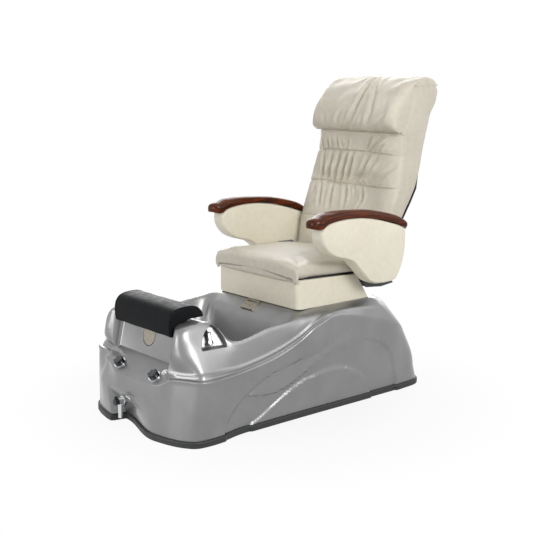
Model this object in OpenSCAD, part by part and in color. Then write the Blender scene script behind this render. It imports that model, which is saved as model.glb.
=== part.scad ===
// Pedicure spa chair: foot basin moulding with a massage recliner seated on its rear.
// Millimetres. +X is the sitter's left-hand side, the basin is at -Y and +Z is up.
// The origin is on the floor under the centre of the chair's outline.

/* [Base moulding] */
// Width of the moulding at the floor, halfway along its side
base_w = 654; // [630:2:680]
// Distance from the seat datum to the front of the moulding at the floor
base_front = 690; // [680:2:720]
// Distance from the seat datum to the rear of the moulding at the floor
base_rear = 694; // [680:2:730]
// Height of the flat top that carries the seat
plateau_z = 425; // [410:1:440]
// Wall thickness of the moulding
shell_t = 6; // [4:0.5:7]
// Height of the rubber skirt round the floor edge
skirt_h = 25; // [20:1:30]
// How far the rubber skirt stands out from the moulding
skirt_proud = 8; // [5:1:10]
// Height of the basin floor
basin_z = 160; // [150:1:170]
// Distance from the seat datum to the drain
drain_y = 290; // [270:2:310]
// Radius of the hole for the drain
drain_r = 34; // [30:1:38]

/* [Control deck and tower] */
// Height of the flat top of the footrest tower
tower_z = 445; // [438:1:450]
// Half width of the control deck
deck_hw = 222; // [214:1:226]
// Slope of the control deck in degrees
deck_tilt = 34.2; // [32:0.1:36]
// Half width of the recessed tower panel
panel_hw = 188; // [184:1:190]
// Backward lean of the tower panel in degrees
panel_tilt = 13; // [10:0.5:15]
// Distance between the two water knobs
knob_gap = 240; // [220:2:260]
// Radius of a water knob
knob_r = 20; // [17:0.5:22]
// Height of a water knob
knob_h = 17; // [14:0.5:20]
// Radius of a water knob's stem
stem_r = 5; // [4:0.5:6]
// Sideways position of the air button
air_x = 180; // [176:1:184]
// Radius of the air button
air_r = 9; // [7:0.5:10]
// Travel of the air button
air_travel = 3; // [2:0.5:4]

/* [Footrest] */
// Half width of the footrest pad
pad_hw = 192; // [185:1:200]
// Width of the steel tongue that carries the footrest
tongue_w = 78; // [70:1:84]
// Thickness of the steel tongue
tongue_t = 5; // [4:0.5:6]
// Height travel of the footrest
footrest_travel = 60; // [40:5:70]

/* [Drain tap] */
// Sideways position of the tap
tap_x = -30; // [-36:1:-24]
// Height of the tap's axis
tap_z = 112; // [106:1:118]
// Radius of the tap's body
tap_r = 15; // [13:0.5:17]
// Radius of the outlet tube
outlet_r = 9; // [8:0.5:10]
// Radius of the drain pipe
drain_pipe_r = 16; // [14:0.5:18]

/* [Seat] */
// Half width of the upholstered plinth
plinth_hw = 262; // [254:1:264]
// Height of the plinth's top edge at the front
plinth_top = 545; // [535:1:552]
// Rearward fall of the seat in degrees
seat_fall = 2; // [1:0.25:3]
// Wall thickness of the plinth
plinth_t = 12; // [8:1:15]
// Half width of the seat cushion at its widest
seat_hw = 274; // [264:1:277]
// Depth of the seat cushion
seat_d = 448; // [430:2:452]
// Height of the seat cushion's crown over the seat pan
seat_h = 72; // [62:1:80]
// Forward travel of the seat
slide_travel = 100; // [60:5:110]
// Sideways position of the slide rails
rail_x = 150; // [140:1:160]

/* [Arms] */
// Sideways position of each arm's centre
arm_x = 320.5; // [319:0.5:326]
// Thickness of each arm
arm_w = 73; // [66:1:75]
// Width of the wooden arm caps
cap_w = 76; // [70:1:82]
// Thickness of the wooden arm caps
cap_t = 25; // [20:1:28]
// Radius of the arm pivot pins
arm_pin_r = 8; // [6:0.5:10]

/* [Back] */
// Distance from the seat datum to the back hinge
hinge_y = 445; // [440:1:450]
// Height of the back hinge
hinge_z = 560; // [555:1:565]
// Radius of the back hinge pins
hinge_r = 8; // [7:0.5:9]
// Half width of the back at the arms
back_hw = 272; // [262:1:275]
// Thickness of the rear shell of the back
rear_shell_t = 6; // [4:0.5:8]

/* [Hidden] */
$fn = 48;

// Clearances
gap = 0.3;          // between neighbours that don't touch
run = 0.05;         // radial, pin in a running bore

hw = base_w / 2;

// The chair reaches from the drain knob to the top of the back
front_reach = base_front + 39.2;
rear_reach = 771;
origin_y = (rear_reach - front_reach) / 2;

module placed() { translate([0, -origin_y, 0]) children(); }

// Colours
silver = [0.72, 0.72, 0.73];
cream = [0.93, 0.90, 0.83];
steel = [0.45, 0.46, 0.48];
chrome = [0.85, 0.86, 0.88];
black = [0.08, 0.08, 0.08];
wood = [0.25, 0.08, 0.03];

// ---------------------------------------------------------------- curves and lofts

// Point between b and c on the smooth curve through a, b, c and d
function curve_point(a, b, c, d, t) =
    0.5 * (2 * b + (c - a) * t + (2 * a - 5 * b + 4 * c - d) * t * t
        + (3 * b - a - 3 * c + d) * t * t * t);

function reversed(list) = [for (i = [len(list) - 1 : -1 : 0]) list[i]];
function flip_x(p) = [-p[0], p[1], p[2]];

// Point at station u of a half ring that runs from x = 0 round to x = 0
function along(ring, u) =
    let (last = len(ring) - 1, i = min(floor(u), last - 1))
    let (before = i > 0 ? ring[i - 1] : flip_x(ring[1]))
    let (after = i + 2 <= last ? ring[i + 2] : flip_x(ring[last - 1]))
    curve_point(before, ring[i], ring[i + 1], after, u - i);

// Point at height v of a column of points, straight past the ridges marked sharp
function up_column(column, sharp, v) =
    let (last = len(column) - 1, i = min(floor(v), last - 1))
    let (b = column[i], c = column[i + 1])
    let (a = i == 0 || sharp[i] ? 2 * b - c : column[i - 1])
    let (d = i + 1 == last || sharp[i + 1] ? 2 * c - b : column[i + 2])
    curve_point(a, b, c, d, v - i);

function smooth(t) = let (k = min(max(t, 0), 1)) k * k * (3 - 2 * k);

function unit(v) = v / max(norm(v), 0.000001);

// Solid through a list of closed rings with equal counts, capped at both ends
module loft(rings) {
    n = len(rings[0]);
    m = len(rings);
    sides = [for (i = [0 : m - 2]) for (j = [0 : n - 1]) let (k = (j + 1) % n)
        each [[i * n + j, (i + 1) * n + j, i * n + k], [i * n + k, (i + 1) * n + j, (i + 1) * n + k]]];
    caps = [[for (j = [0 : n - 1]) j], [for (j = [n - 1 : -1 : 0]) (m - 1) * n + j]];
    polyhedron([for (ring = rings) each ring], concat(sides, caps), convexity = 8);
}

// ---------------------------------------------------------------- base moulding

function front(x, inset, z) = [x, -base_front + inset, z];
function side(out, y, z) = [hw + out, y, z];
function rear(x, inset, z) = [x, base_rear - inset, z];

// The basin's rings are drawn for a half width of 290 inside the rim
rim_w = 37;
function basin(x, y, z) = [x * (hw - rim_w) / 290, y, z];

ramp_y = -45;                     // rear edge of the basin, in front of the plinth
ramp_foot_y = ramp_y - 60;
ramp_foot_z = plateau_z - 40;
tower_back_y = -478;

// Half rings from the floor edge over the rim into the basin, from front to rear
RINGS = [
    [front(0, 8, skirt_h), front(140, 12, skirt_h), front(205, 22, skirt_h), front(247, 33, skirt_h),
        front(290, 50, skirt_h), side(5, -608, skirt_h), side(16, -558, skirt_h), side(13, -480, skirt_h),
        side(-5, -380, skirt_h), side(-8, -230, skirt_h), side(-9, -100, skirt_h), side(-9, 0, skirt_h),
        side(-8, 130, skirt_h), side(-7, 380, skirt_h), side(-10, 520, skirt_h), rear(294, 62, skirt_h),
        rear(186, 18, skirt_h), rear(0, 8, skirt_h)],
    [front(0, 2, 75), front(140, 5, 75), front(205, 16, 75), front(248, 34, 75), front(292, 53, 75),
        side(10, -607, 75), side(21, -559, 75), side(16, -480, 75), side(0, -380, 75), side(-3, -230, 75),
        side(-4, -100, 75), side(-4, 0, 75), side(-4, 130, 75), side(-5, 378, 75), side(-9, 514, 75),
        rear(293, 76, 75), rear(185, 28, 75), rear(0, 18, 75)],
    [front(0, -5, 145), front(140, -3, 145), front(205, 8, 145), front(248, 36, 145), front(295, 58, 145),
        side(16, -605, 145), side(27, -560, 145), side(19, -480, 145), side(6, -380, 145),
        side(3, -230, 145), side(2, -100, 145), side(2, 0, 150), side(1, 130, 150), side(-2, 377, 150),
        side(-7, 505, 150), rear(291, 92, 150), rear(183, 38, 150), rear(0, 28, 150)],
    [front(0, -10, 247), front(140, -8, 247), front(207, 2, 247), front(250, 44, 249), front(300, 68, 251),
        side(21, -600, 252), side(34, -562, 250), side(21, -480, 247), side(11, -380, 252),
        side(10, -230, 276), side(10, -100, 322), side(9, 0, 372), side(5, 130, plateau_z - 33),
        side(-1, 375, plateau_z - 95), side(-8, 482, plateau_z - 125), rear(274, 142, plateau_z - 152),
        rear(170, 84, plateau_z - 145), rear(0, 76, plateau_z - 135)],
    [front(0, 45, 264), front(140, 46, 264), front(212, 52, 264), front(250, 68, 265), front(292, 88, 266),
        side(4, -582, 267), side(12, -552, 267), side(3, -478, 265), side(0, -380, 268),
        side(-1, -230, 296), side(-1, -100, 338), side(0, 0, 386), side(-10, 130, plateau_z - 13),
        side(-19, 352, plateau_z - 30), side(-42, 430, plateau_z - 47), rear(235, 204, plateau_z - 58),
        rear(150, 164, plateau_z - 42), rear(0, 149, plateau_z - 40)],
    [front(0, 72, 345), front(140, 72, 345), front(192, 70, 345), front(230, 57, 345), front(262, 67, 345),
        side(-42, -588, 348), side(-35, -540, 350), side(-27, -460, 346), side(-13, -380, 335),
        side(-9, -230, 350), side(-8, -105, 372), side(-15, -20, 408), side(-52, 130, plateau_z),
        side(-65, 335, plateau_z), side(-102, 370, plateau_z), rear(170, 294, plateau_z),
        rear(110, 274, plateau_z), rear(0, 264, plateau_z)],
    [front(0, 92, tower_z - 14), front(130, 92, tower_z - 14), front(190, 90, tower_z - 14),
        front(216, 85, tower_z - 14), front(238, 93, tower_z - 14), side(-78, -572, tower_z - 13),
        side(-80, -510, tower_z - 8), side(-66, -449, 414), side(-24, -398, 361), side(-20, -230, 389),
        side(-22, -112, 402),
        side(-40, -50, 417), side(-72, 60, plateau_z), [200, 120, plateau_z], [150, 130, plateau_z],
        [100, 140, plateau_z], [50, 145, plateau_z], [0, 150, plateau_z]],
    [basin(0, tower_back_y, tower_z), basin(105, tower_back_y, tower_z), basin(160, tower_back_y, tower_z),
        basin(190, tower_back_y + 3, tower_z), basin(208, tower_back_y + 8, tower_z - 1),
        basin(222, tower_back_y + 16, tower_z - 4), basin(232, tower_back_y + 28, tower_z - 10),
        basin(250, tower_back_y + 52, 392), basin(290, -376, 361), basin(291, -230, 387),
        basin(286, -125, 398), basin(262, ramp_y - 18, 414), basin(215, ramp_y - 1, plateau_z),
        basin(170, ramp_y, plateau_z), basin(125, ramp_y, plateau_z), basin(85, ramp_y, plateau_z),
        basin(45, ramp_y, plateau_z), basin(0, ramp_y, plateau_z)],
    [for (p = [[0, -455, 370], [98, -455, 370], [155, -455, 370], [184, -450, 368], [205, -443, 366],
        [222, -433, 362], [236, -420, 352], [252, -400, 336], [272, -362, 318], [272, -230, 324],
        [262, -140, 336], [236, -112, 370], [205, ramp_foot_y, ramp_foot_z], [165, ramp_foot_y, ramp_foot_z],
        [125, ramp_foot_y, ramp_foot_z], [85, ramp_foot_y, ramp_foot_z], [45, ramp_foot_y, ramp_foot_z],
        [0, ramp_foot_y, ramp_foot_z]]) basin(p[0], p[1], p[2])],
    [for (p = [[0, -430, 235], [86, -430, 235], [135, -430, 235], [160, -426, 235], [180, -418, 235],
        [195, -405, 235], [206, -390, 235], [215, -370, 235], [225, -345, 235], [228, -250, 238],
        [222, -190, 242], [205, -165, 246], [180, -152, 250], [150, -150, 250], [112, -150, 250],
        [76, -150, 250], [40, -150, 250], [0, -150, 250]]) basin(p[0], p[1], p[2])],
    [for (p = [[0, -400], [73, -400], [115, -400], [136, -397], [153, -390], [166, -378], [175, -365],
        [182, -345], [188, -325], [190, -250], [186, -215], [172, -198], [152, -190], [125, -188],
        [95, -188], [64, -188], [32, -188], [0, -188]]) basin(p[0], p[1], basin_z)]
];
FOOT = 0;
SHARP = [true, false, false, true, true, false, false, true, true, false, true];

// Stations sampled on each half, closer where the front recess steps
STATIONS = concat([0, 0.22, 0.45, 0.67, 0.85, 1, 1.25, 1.6], [for (u = [2 : 0.5 : 17]) u]);
LEVELS = [0, 1, 2, 3, 4, 4.5, 5, 5.5, 6, 6.5, 7, 7.5, 8, 8.5, 9, 9.5, 10];

// Scoop in the foot of the front wall that the drain tap stands in
recess_deep = 62;
recess_left = -137;
recess_right = 165;
recess_top = 165;
function recess(p) =
    p[1] > -base_front / 2 ? 0
    : recess_deep * smooth((p[0] - recess_left) / 16) * smooth((recess_right - p[0]) / 275)
        * smooth((recess_top - p[2]) / (recess_top - skirt_h));

// Fall of the front wall's top away from the deck on the sitter's right
slope_deep = 30;
slope_top = 262;
function slope(p) =
    p[1] > -base_front + 160 ? 0
    : slope_deep * smooth((160 - base_front - p[1]) / 60) * smooth((-p[0] - 50) / 130) * smooth((p[0] + base_w / 2) / 90) * smooth((p[2] - 150) / 80)
        * (1 - smooth((p[2] - slope_top) / 60));

function half_column(u, hand) =
    [for (v = LEVELS) let (p = up_column([for (ring = RINGS) along(ring, u)], SHARP, v))
        let (q = [hand * p[0], p[1], p[1] > ramp_y - 1 ? min(p[2], plateau_z) : p[2]])
        [q[0], q[1] + recess(q) + slope(q), q[2]]];

last_station = len(STATIONS) - 1;
COLUMNS = concat(
    [for (i = [0 : last_station]) half_column(STATIONS[i], 1)],
    [for (i = [last_station - 1 : -1 : 1]) half_column(STATIONS[i], -1)]);
column_count = len(COLUMNS);
level_count = len(LEVELS);

// Outward normal of the moulding's surface at a grid point
function surface_normal(i, j) =
    let (east = COLUMNS[(i + 1) % column_count][j], west = COLUMNS[(i + column_count - 1) % column_count][j])
    let (above = COLUMNS[i][min(j + 1, level_count - 1)], below = COLUMNS[i][max(j - 1, 0)])
    unit(cross(east - west, above - below));

function wall_grid(t) =
    [for (i = [0 : column_count - 1]) [for (j = [0 : level_count - 1])
        let (p = COLUMNS[i][j] - t * surface_normal(i, j))
        [p[0], p[1], j == 0 ? skirt_h - t : j == level_count - 1 ? basin_z - t : p[2]]]];

// Closed solid under a grid of columns, flat below and flat over the basin floor
module form(grid) {
    n = len(grid);
    m = len(grid[0]);
    floor_centre = [0, -drain_y, grid[0][m - 1][2]];
    foot_centre = [0, 0, grid[0][0][2]];
    sides = [for (i = [0 : n - 1]) for (j = [0 : m - 2]) let (k = (i + 1) % n)
        each [[i * m + j, i * m + j + 1, k * m + j], [k * m + j, i * m + j + 1, k * m + j + 1]]];
    basin = [for (i = [0 : n - 1]) [i * m + m - 1, n * m, ((i + 1) % n) * m + m - 1]];
    foot = [for (i = [0 : n - 1]) [((i + 1) % n) * m, n * m + 1, i * m]];
    polyhedron(concat([for (column = grid) each column], [floor_centre, foot_centre]),
        concat(sides, basin, foot), convexity = 10);
}

// Control deck: a plane through the foot of the tower panel
deck_foot_y = -base_front + 90;
deck_foot_z = 287;
deck_step_y = -base_front + 53;   // front of the tower's wings
deck_round = 30;
far = 1000;
flank = 0.3;                     // sideways run of the wings' inner flanks per unit of depth

module on_deck(x, y) {
    translate([x, y, deck_foot_z + (y - deck_foot_y) * tan(deck_tilt)]) rotate([deck_tilt, 0, 0]) children();
}

module on_panel(x, s) {
    translate([x, deck_foot_y, deck_foot_z]) rotate([-panel_tilt, 0, 0]) translate([0, 0, s]) children();
}

// Everything in front of the tower panel and over the deck, grown by g
module deck_space(g) {
    reach = 300;
    intersection() {
        union() {
            on_panel(0, -60) linear_extrude(reach) polygon([[-panel_hw - 1.3 * g, g], [panel_hw + 1.3 * g, g],
                [panel_hw + 1.3 * g + flank * (reach + g), -reach], [-panel_hw - 1.3 * g - flank * (reach + g), -reach]]);
            translate([0, 0, 100]) linear_extrude(reach + 100) union() {
                translate([-deck_hw - g, deck_step_y - reach]) square([2 * (deck_hw + g), reach + g - deck_round]);
                translate([-deck_hw - g + deck_round, deck_step_y - reach])
                    square([2 * (deck_hw + g - deck_round), reach + g]);
                for (hand = [-1, 1])
                    translate([hand * (deck_hw + g - deck_round), deck_step_y + g - deck_round]) circle(deck_round);
            }
        }
        on_deck(0, deck_foot_y) translate([-far / 2, -far / 2, -g]) cube([far, far, reach]);
    }
}

// Relief in the tower behind the front lip of the footrest
module lip_space(g) {
    side_plate([[-700, 388 - g], [-598 + g, 388 - g], [-579 + g, 446 + g], [-700, 446 + g]], -194 - g, 194 + g);
}

// Plate in the YZ plane between x0 and x1
module side_plate(points, x0, x1) {
    translate([x0, 0, 0]) rotate([90, 0, 90]) linear_extrude(x1 - x0) polygon(points);
}

// Niche for the hand sprayer in the tower's left flank, closed by a leaning back wall
niche_low_z = 350;
niche_x = hw - 89;
niche_y = -431;
niche_turn = 17;
niche_lean = 30;
NICHE = [[-115, 0], [0, 0], [-3, 25], [-9, 50], [-21, 73], [-36, 84], [-51, 78], [-78, 62], [-98, 38]];

module on_niche(x) {
    translate([niche_x, niche_y - 120, niche_low_z]) rotate([0, 0, -niche_turn]) rotate([0, -niche_lean, 0])
        translate([x, 0, 0]) children();
}

module niche_space(g) {
    outline = [for (p = NICHE) [niche_y + p[0], niche_low_z + p[1]]];
    intersection() {
        translate([niche_x - 88, 0, 0]) rotate([90, 0, 90]) linear_extrude(300) offset(delta = g) polygon(outline);
        on_niche(-g) translate([0, -100, -far / 2]) cube([far / 2, 400, far]);
    }
}

slot_w = tongue_w + 6;
slot_low = 34;                    // height of the slot's round end up the panel
knob_y = -662;
knob_mid = 32;                    // sideways place of the middle between the knobs
air_y = -636;

function knob_x(hand) = knob_mid + hand * knob_gap / 2;

module tongue_slot(w, low, back) {
    on_panel(0, low) union() {
        translate([-w / 2, -10, w / 2]) cube([w, 10 + back, 200]);
        translate([0, back, w / 2]) rotate([90, 0, 0]) cylinder(h = 10 + back, r = w / 2);
    }
}

pad_clear = 4;

module stem_holes(r) {
    for (hand = [-1, 1]) on_deck(knob_x(hand), knob_y) translate([0, 0, -40]) cylinder(h = 60, r = r);
}

// Post positions of the steel chassis, under the seat plate's bolts
post_x = 170;
POST_Y = [60, 330];
bolt_r = 5;
bolt_hole_r = 5.5;

module post_holes(low, high) {
    for (hand = [-1, 1]) for (y = POST_Y)
        translate([hand * post_x, y, low]) cylinder(h = high - low, r = bolt_hole_r);
}

inlet_w = 48;
inlet_h = 28;
inlet_z = 110;
inlet_y = base_rear - 22.7;
inlet_lean = 7.6;

module on_rear_wall() {
    translate([0, inlet_y, inlet_z]) rotate([inlet_lean, 0, 0]) children();
}

spigot_r = 8;
spout_y = (ramp_y + ramp_foot_y) / 2;
spout_z = (plateau_z + ramp_foot_z) / 2;
ramp_tilt = atan((plateau_z - ramp_foot_z) / (ramp_y - ramp_foot_y));

module on_ramp() {
    translate([0, spout_y, spout_z]) rotate([ramp_tilt, 0, 0]) children();
}

module tub_shell() {
    color(silver) placed() difference() {
        form(COLUMNS);
        difference() {
            form(wall_grid(shell_t));
            deck_space(shell_t);
            niche_space(shell_t);
            lip_space(shell_t);
        }
        deck_space(0);
        niche_space(0);
        lip_space(0);
        tongue_slot(slot_w, slot_low, 14);
        stem_holes(stem_r + 4);
        on_deck(air_x, air_y) translate([0, 0, -40]) cylinder(h = 60, r = air_r + 2);
        translate([0, -drain_y, basin_z - 20]) cylinder(h = 40, r = drain_r);
        translate([tap_x, -base_front + 120, tap_z]) rotate([90, 0, 0]) cylinder(h = 200, r = drain_pipe_r + 1);
        post_holes(plateau_z - 20, plateau_z + 20);
        translate([0, spout_y, spout_z - 20]) cylinder(h = 40, r = spigot_r + 1);
        on_rear_wall() {
            translate([-inlet_w / 2, -30, -inlet_h / 2]) cube([inlet_w, 60, inlet_h]);
            translate([-inlet_w / 2 - 6 - gap, -1, -inlet_h / 2 - 6 - gap])
                cube([inlet_w + 12 + 2 * gap, 30, inlet_h + 12 + 2 * gap]);
        }
    }
}

// ---------------------------------------------------------------- base fittings

// Straight round bar from p to q
module rod(p, q, r) {
    v = q - p;
    translate(p) rotate([0, acos(v[2] / norm(v)), atan2(v[1], v[0])]) cylinder(h = norm(v), r = r);
}

// Bent round bar through points
module bent_rod(points, r) {
    for (i = [0 : len(points) - 2]) rod(points[i], points[i + 1], r);
    for (i = [1 : 1 : len(points) - 2]) translate(points[i]) sphere(r + 0.2);
}

FOOTPRINT = [for (column = COLUMNS) [column[0][0], column[0][1]]];

// Footprint outline moved outwards by d
function outset_footprint(d) =
    let (n = len(FOOTPRINT))
    [for (i = [0 : n - 1]) let (tangent = unit(FOOTPRINT[(i + 1) % n] - FOOTPRINT[(i + n - 1) % n]))
        FOOTPRINT[i] + d * [tangent[1], -tangent[0]]];

skirt_lip = 6;

module floor_skirt() {
    color(black) placed() linear_extrude(skirt_h) difference() {
        polygon(outset_footprint(skirt_proud));
        polygon(outset_footprint(-shell_t - skirt_lip));
    }
}

tube = 40;
tube_wall = 3;
rail_z = 12;
rail_front = -380;
rail_rear = 540;
CROSS_Y = [-360, 60, 230, 330, 500];
pad_t = 6;
FOOT_Y = [-340, 520];
foot_stem_r = 6;
chassis_top = plateau_z - shell_t;

module chassis_frame() {
    color(steel) placed() difference() {
        union() {
            for (hand = [-1, 1]) translate([hand * post_x, 0, 0]) {
                translate([-tube / 2, rail_front, rail_z]) difference() {
                    cube([tube, rail_rear - rail_front, tube]);
                    translate([tube_wall, -1, tube_wall])
                        cube([tube - 2 * tube_wall, rail_rear - rail_front + 2, tube - 2 * tube_wall]);
                }
                for (y = POST_Y) translate([-tube / 2, y - tube / 2, rail_z + tube])
                    cube([tube, tube, chassis_top - rail_z - tube]);
            }
            for (y = CROSS_Y) translate([-post_x + tube / 2, y - tube / 2, rail_z])
                cube([2 * post_x - tube, tube, tube]);
        }
        post_holes(chassis_top - 30, chassis_top + 1);
        for (hand = [-1, 1]) for (y = FOOT_Y)
            translate([hand * post_x, y, 0]) cylinder(h = rail_z + tube_wall + 1, r = foot_stem_r + run);
    }
}

module levelling_feet() {
    color(black) placed() for (hand = [-1, 1]) for (y = FOOT_Y) translate([hand * post_x, y, 0]) {
        cylinder(h = rail_z, r = 25);
        cylinder(h = rail_z + tube_wall + 20, r = foot_stem_r);
    }
}

strainer_flange = 44;

module drain_strainer() {
    color(chrome) placed() translate([0, -drain_y, basin_z]) difference() {
        union() {
            cylinder(h = 3, r = strainer_flange);
            translate([0, 0, -14]) cylinder(h = 15, r = drain_r - 1);
            translate([0, 0, -24]) cylinder(h = 12, r = drain_pipe_r);
        }
        translate([0, 0, -25]) cylinder(h = 24, r = drain_pipe_r - 3);
        for (a = [0 : 60 : 300]) rotate([0, 0, a]) translate([20, 0, -20]) cylinder(h = 30, r = 4);
    }
}

pipe_end_y = -base_front + 28;

module drain_pipe() {
    r = drain_pipe_r;
    color([0.9, 0.9, 0.9]) placed() union() {
        translate([0, -drain_y, tap_z]) cylinder(h = basin_z - 24 - tap_z, r = r);
        translate([tap_x - r - 3, -drain_y - r - 3, tap_z - r - 3]) cube([2 * r + 6 - tap_x, 2 * r + 6, 2 * r + 6]);
        translate([tap_x, pipe_end_y, tap_z]) rotate([-90, 0, 0]) cylinder(h = -drain_y - pipe_end_y, r = r);
    }
}

// The tap's axis runs forwards from the wall
tap_front_y = -base_front - 24;
outlet_y = tap_front_y + 11;
outlet_z = 46;
tap_stem_r = 4;
tap_stem_in = 16;
nut_y = -base_front - 3;

module along_tap(y) {
    translate([tap_x, y, tap_z]) rotate([90, 0, 0]) children();
}

module drain_valve_body() {
    color(chrome) placed() difference() {
        union() {
            along_tap(pipe_end_y) cylinder(h = pipe_end_y - tap_front_y, r = tap_r);
            along_tap(nut_y + 8) cylinder(h = 8, r = tap_r + 6, $fn = 6);
            translate([tap_x, outlet_y, outlet_z]) cylinder(h = tap_z - outlet_z, r = outlet_r);
        }
        translate([tap_x, outlet_y, outlet_z - 1]) cylinder(h = 40, r = outlet_r - 2);
        along_tap(tap_front_y + tap_stem_in) cylinder(h = tap_stem_in + 1, r = tap_stem_r + run);
    }
}

module drain_valve_stem() {
    color(chrome) placed() along_tap(tap_front_y + tap_stem_in - gap) cylinder(h = tap_stem_in + 0.9, r = tap_stem_r);
}

knob_front_y = tap_front_y - 16;

module drain_knob() {
    color(black) placed() along_tap(tap_front_y + gap - 1.5) difference() {
        union() {
            cylinder(h = 14, r = 12);
            translate([-5, -12, 2]) cube([10, 34, 11]);
        }
    }
}

jet_x = 72;
jet_y = -365;
jet_r = 28;

module jet_housing() {
    color(chrome) placed() translate([jet_x, jet_y, basin_z]) difference() {
        cylinder(h = 16, r = jet_r);
        for (a = [0 : 45 : 315]) rotate([0, 0, a]) translate([10, -2, 8]) cube([30, 4, 9]);
    }
}

module jet_motor() {
    color(steel) placed() translate([jet_x, jet_y, basin_z - shell_t - 55]) union() {
        cylinder(h = 55, r = jet_r + 2);
        translate([-8, -8, -20]) cube([16, 16, 20]);
    }
}

// Pipe from the mixer valves along the left side to the spout
valve_low = 50;
manifold_y = knob_y + valve_low * sin(deck_tilt);
manifold_z = deck_foot_z + (knob_y - deck_foot_y) * tan(deck_tilt) - 65;
supply_r = 8;
supply_side_x = hw - 42;
supply_high_z = 300;
supply_turn_y = -560;

module supply_pipe() {
    x0 = knob_x(-1);
    x1 = knob_x(1);
    color([0.75, 0.45, 0.25]) placed() union() {
        bent_rod([[x0, manifold_y, manifold_z], [x1, manifold_y, manifold_z], [x1, supply_turn_y, manifold_z],
            [supply_side_x, supply_turn_y, manifold_z], [supply_side_x, spout_y, manifold_z],
            [supply_side_x, spout_y, supply_high_z], [0, spout_y, supply_high_z],
            [0, spout_y, spout_z - 32]], supply_r);
        for (x = [x0, x1]) translate([x, manifold_y, manifold_z]) cylinder(h = 14, r = supply_r);
        translate([x0, manifold_y, manifold_z]) sphere(supply_r);
    }
}

module knob_escutcheons() {
    color(chrome) placed() for (hand = [-1, 1]) on_deck(knob_x(hand), knob_y) difference() {
        cylinder(h = 4, r = knob_r + 5);
        translate([0, 0, -1]) cylinder(h = 6, r = stem_r + 2);
    }
}

valve_r = 17;
stem_in = 24;

module mixer_valves() {
    color([0.8, 0.65, 0.35]) placed() for (hand = [-1, 1]) difference() {
        union() {
            on_deck(knob_x(hand), knob_y) {
                translate([0, 0, -valve_low]) cylinder(h = valve_low - shell_t, r = valve_r);
                translate([0, 0, -valve_low]) cylinder(h = valve_low, r = stem_r + 4 - gap);
            }
            translate([knob_x(hand), manifold_y, manifold_z + 14]) cylinder(h = 20, r = supply_r);
        }
        on_deck(knob_x(hand), knob_y) translate([0, 0, -stem_in - gap]) cylinder(h = stem_in + 2, r = stem_r + run);
    }
}

// Fluted water knob with its stem
module water_knob(hand) {
    flutes = 6;
    color(chrome) placed() on_deck(knob_x(hand), knob_y) union() {
        translate([0, 0, -stem_in]) cylinder(h = stem_in + 6, r = stem_r);
        translate([0, 0, 4 + gap]) difference() {
            cylinder(h = knob_h, r = knob_r);
            for (a = [0 : 360 / flutes : 359]) rotate([0, 0, a]) translate([knob_r + 4, 0, -1])
                cylinder(h = knob_h + 2, r = 8);
        }
    }
}

module hot_knob() { water_knob(-1); }
module cold_knob() { water_knob(1); }

bezel_r = 13;

module air_bezel() {
    color(chrome) placed() on_deck(air_x, air_y) difference() {
        union() {
            cylinder(h = 2, r = bezel_r);
            translate([0, 0, -18]) cylinder(h = 19, r = air_r + 2 - gap);
        }
        translate([0, 0, -15]) cylinder(h = 20, r = air_r + run);
    }
}

module air_button() {
    color(chrome) placed() on_deck(air_x, air_y) translate([0, 0, -14 + air_travel]) cylinder(h = 16, r = air_r);
}

// Niche fittings: a lining plate, a bracket and the sprayer that it holds
plate_t = 1.5;
sprayer_r = 9;
sprayer_off = 16;                 // axis out from the niche's back wall
sprayer_low = 4;
sprayer_len = 57;
sprayer_travel = 90;
sprayer_at = 68;                  // along the niche from its front corner

module niche_plate() {
    color(chrome) placed() intersection() {
        on_niche(gap) translate([0, -50, -far / 2]) cube([plate_t, 300, far]);
        translate([niche_x - 88, 0, 0]) rotate([90, 0, 90]) linear_extrude(300)
            offset(delta = -2) polygon([for (p = NICHE) [niche_y + p[0], niche_low_z + p[1]]]);
    }
}

module sprayer_dock() {
    color(chrome) placed() on_niche(0) translate([sprayer_off, sprayer_at, sprayer_low + 2]) difference() {
        union() {
            cylinder(h = 12, r = sprayer_r + 4);
            translate([-sprayer_off + plate_t + gap, -6, 0]) cube([sprayer_off - sprayer_r, 12, 12]);
        }
        translate([0, -sprayer_r - run, -1]) cube([sprayer_r + 5, 2 * (sprayer_r + run), 14]);
        translate([0, 0, -1]) cylinder(h = 14, r = sprayer_r + run);
    }
}

module hand_sprayer() {
    color(chrome) placed() on_niche(0) translate([sprayer_off, sprayer_at, sprayer_low]) union() {
        cylinder(h = sprayer_len, r = sprayer_r);
        translate([0, 0, 40]) cylinder(h = sprayer_len - 42, r = sprayer_r + 2);
        translate([0, 0, sprayer_len - 12]) rotate([0, 70, 0]) cylinder(h = 19, r = 8);
    }
}

spout_w = 76;
spout_l = 54;

module waterfall_spout() {
    color(chrome) placed() union() {
        on_ramp() translate([-spout_w / 2, -spout_l / 2, 0]) difference() {
            cube([spout_w, spout_l, 9]);
            translate([7, 7, 3]) cube([spout_w - 14, spout_l - 14, 7]);
        }
        translate([0, spout_y, spout_z - 32]) cylinder(h = 33, r = spigot_r);
    }
}

// ---------------------------------------------------------------- footrest

module footrest_guide() {
    color(steel) placed() on_panel(0, slot_low - 14) difference() {
        translate([-slot_w / 2 - 14, shell_t, 0]) cube([slot_w + 28, 12, 118]);
        translate([-slot_w / 2, shell_t - 1, -1]) cube([slot_w, 5, 130]);
    }
}

board_z = tower_z + 6;
tongue_foot_t = 4;
tongue_low = slot_low + 3;

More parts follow.
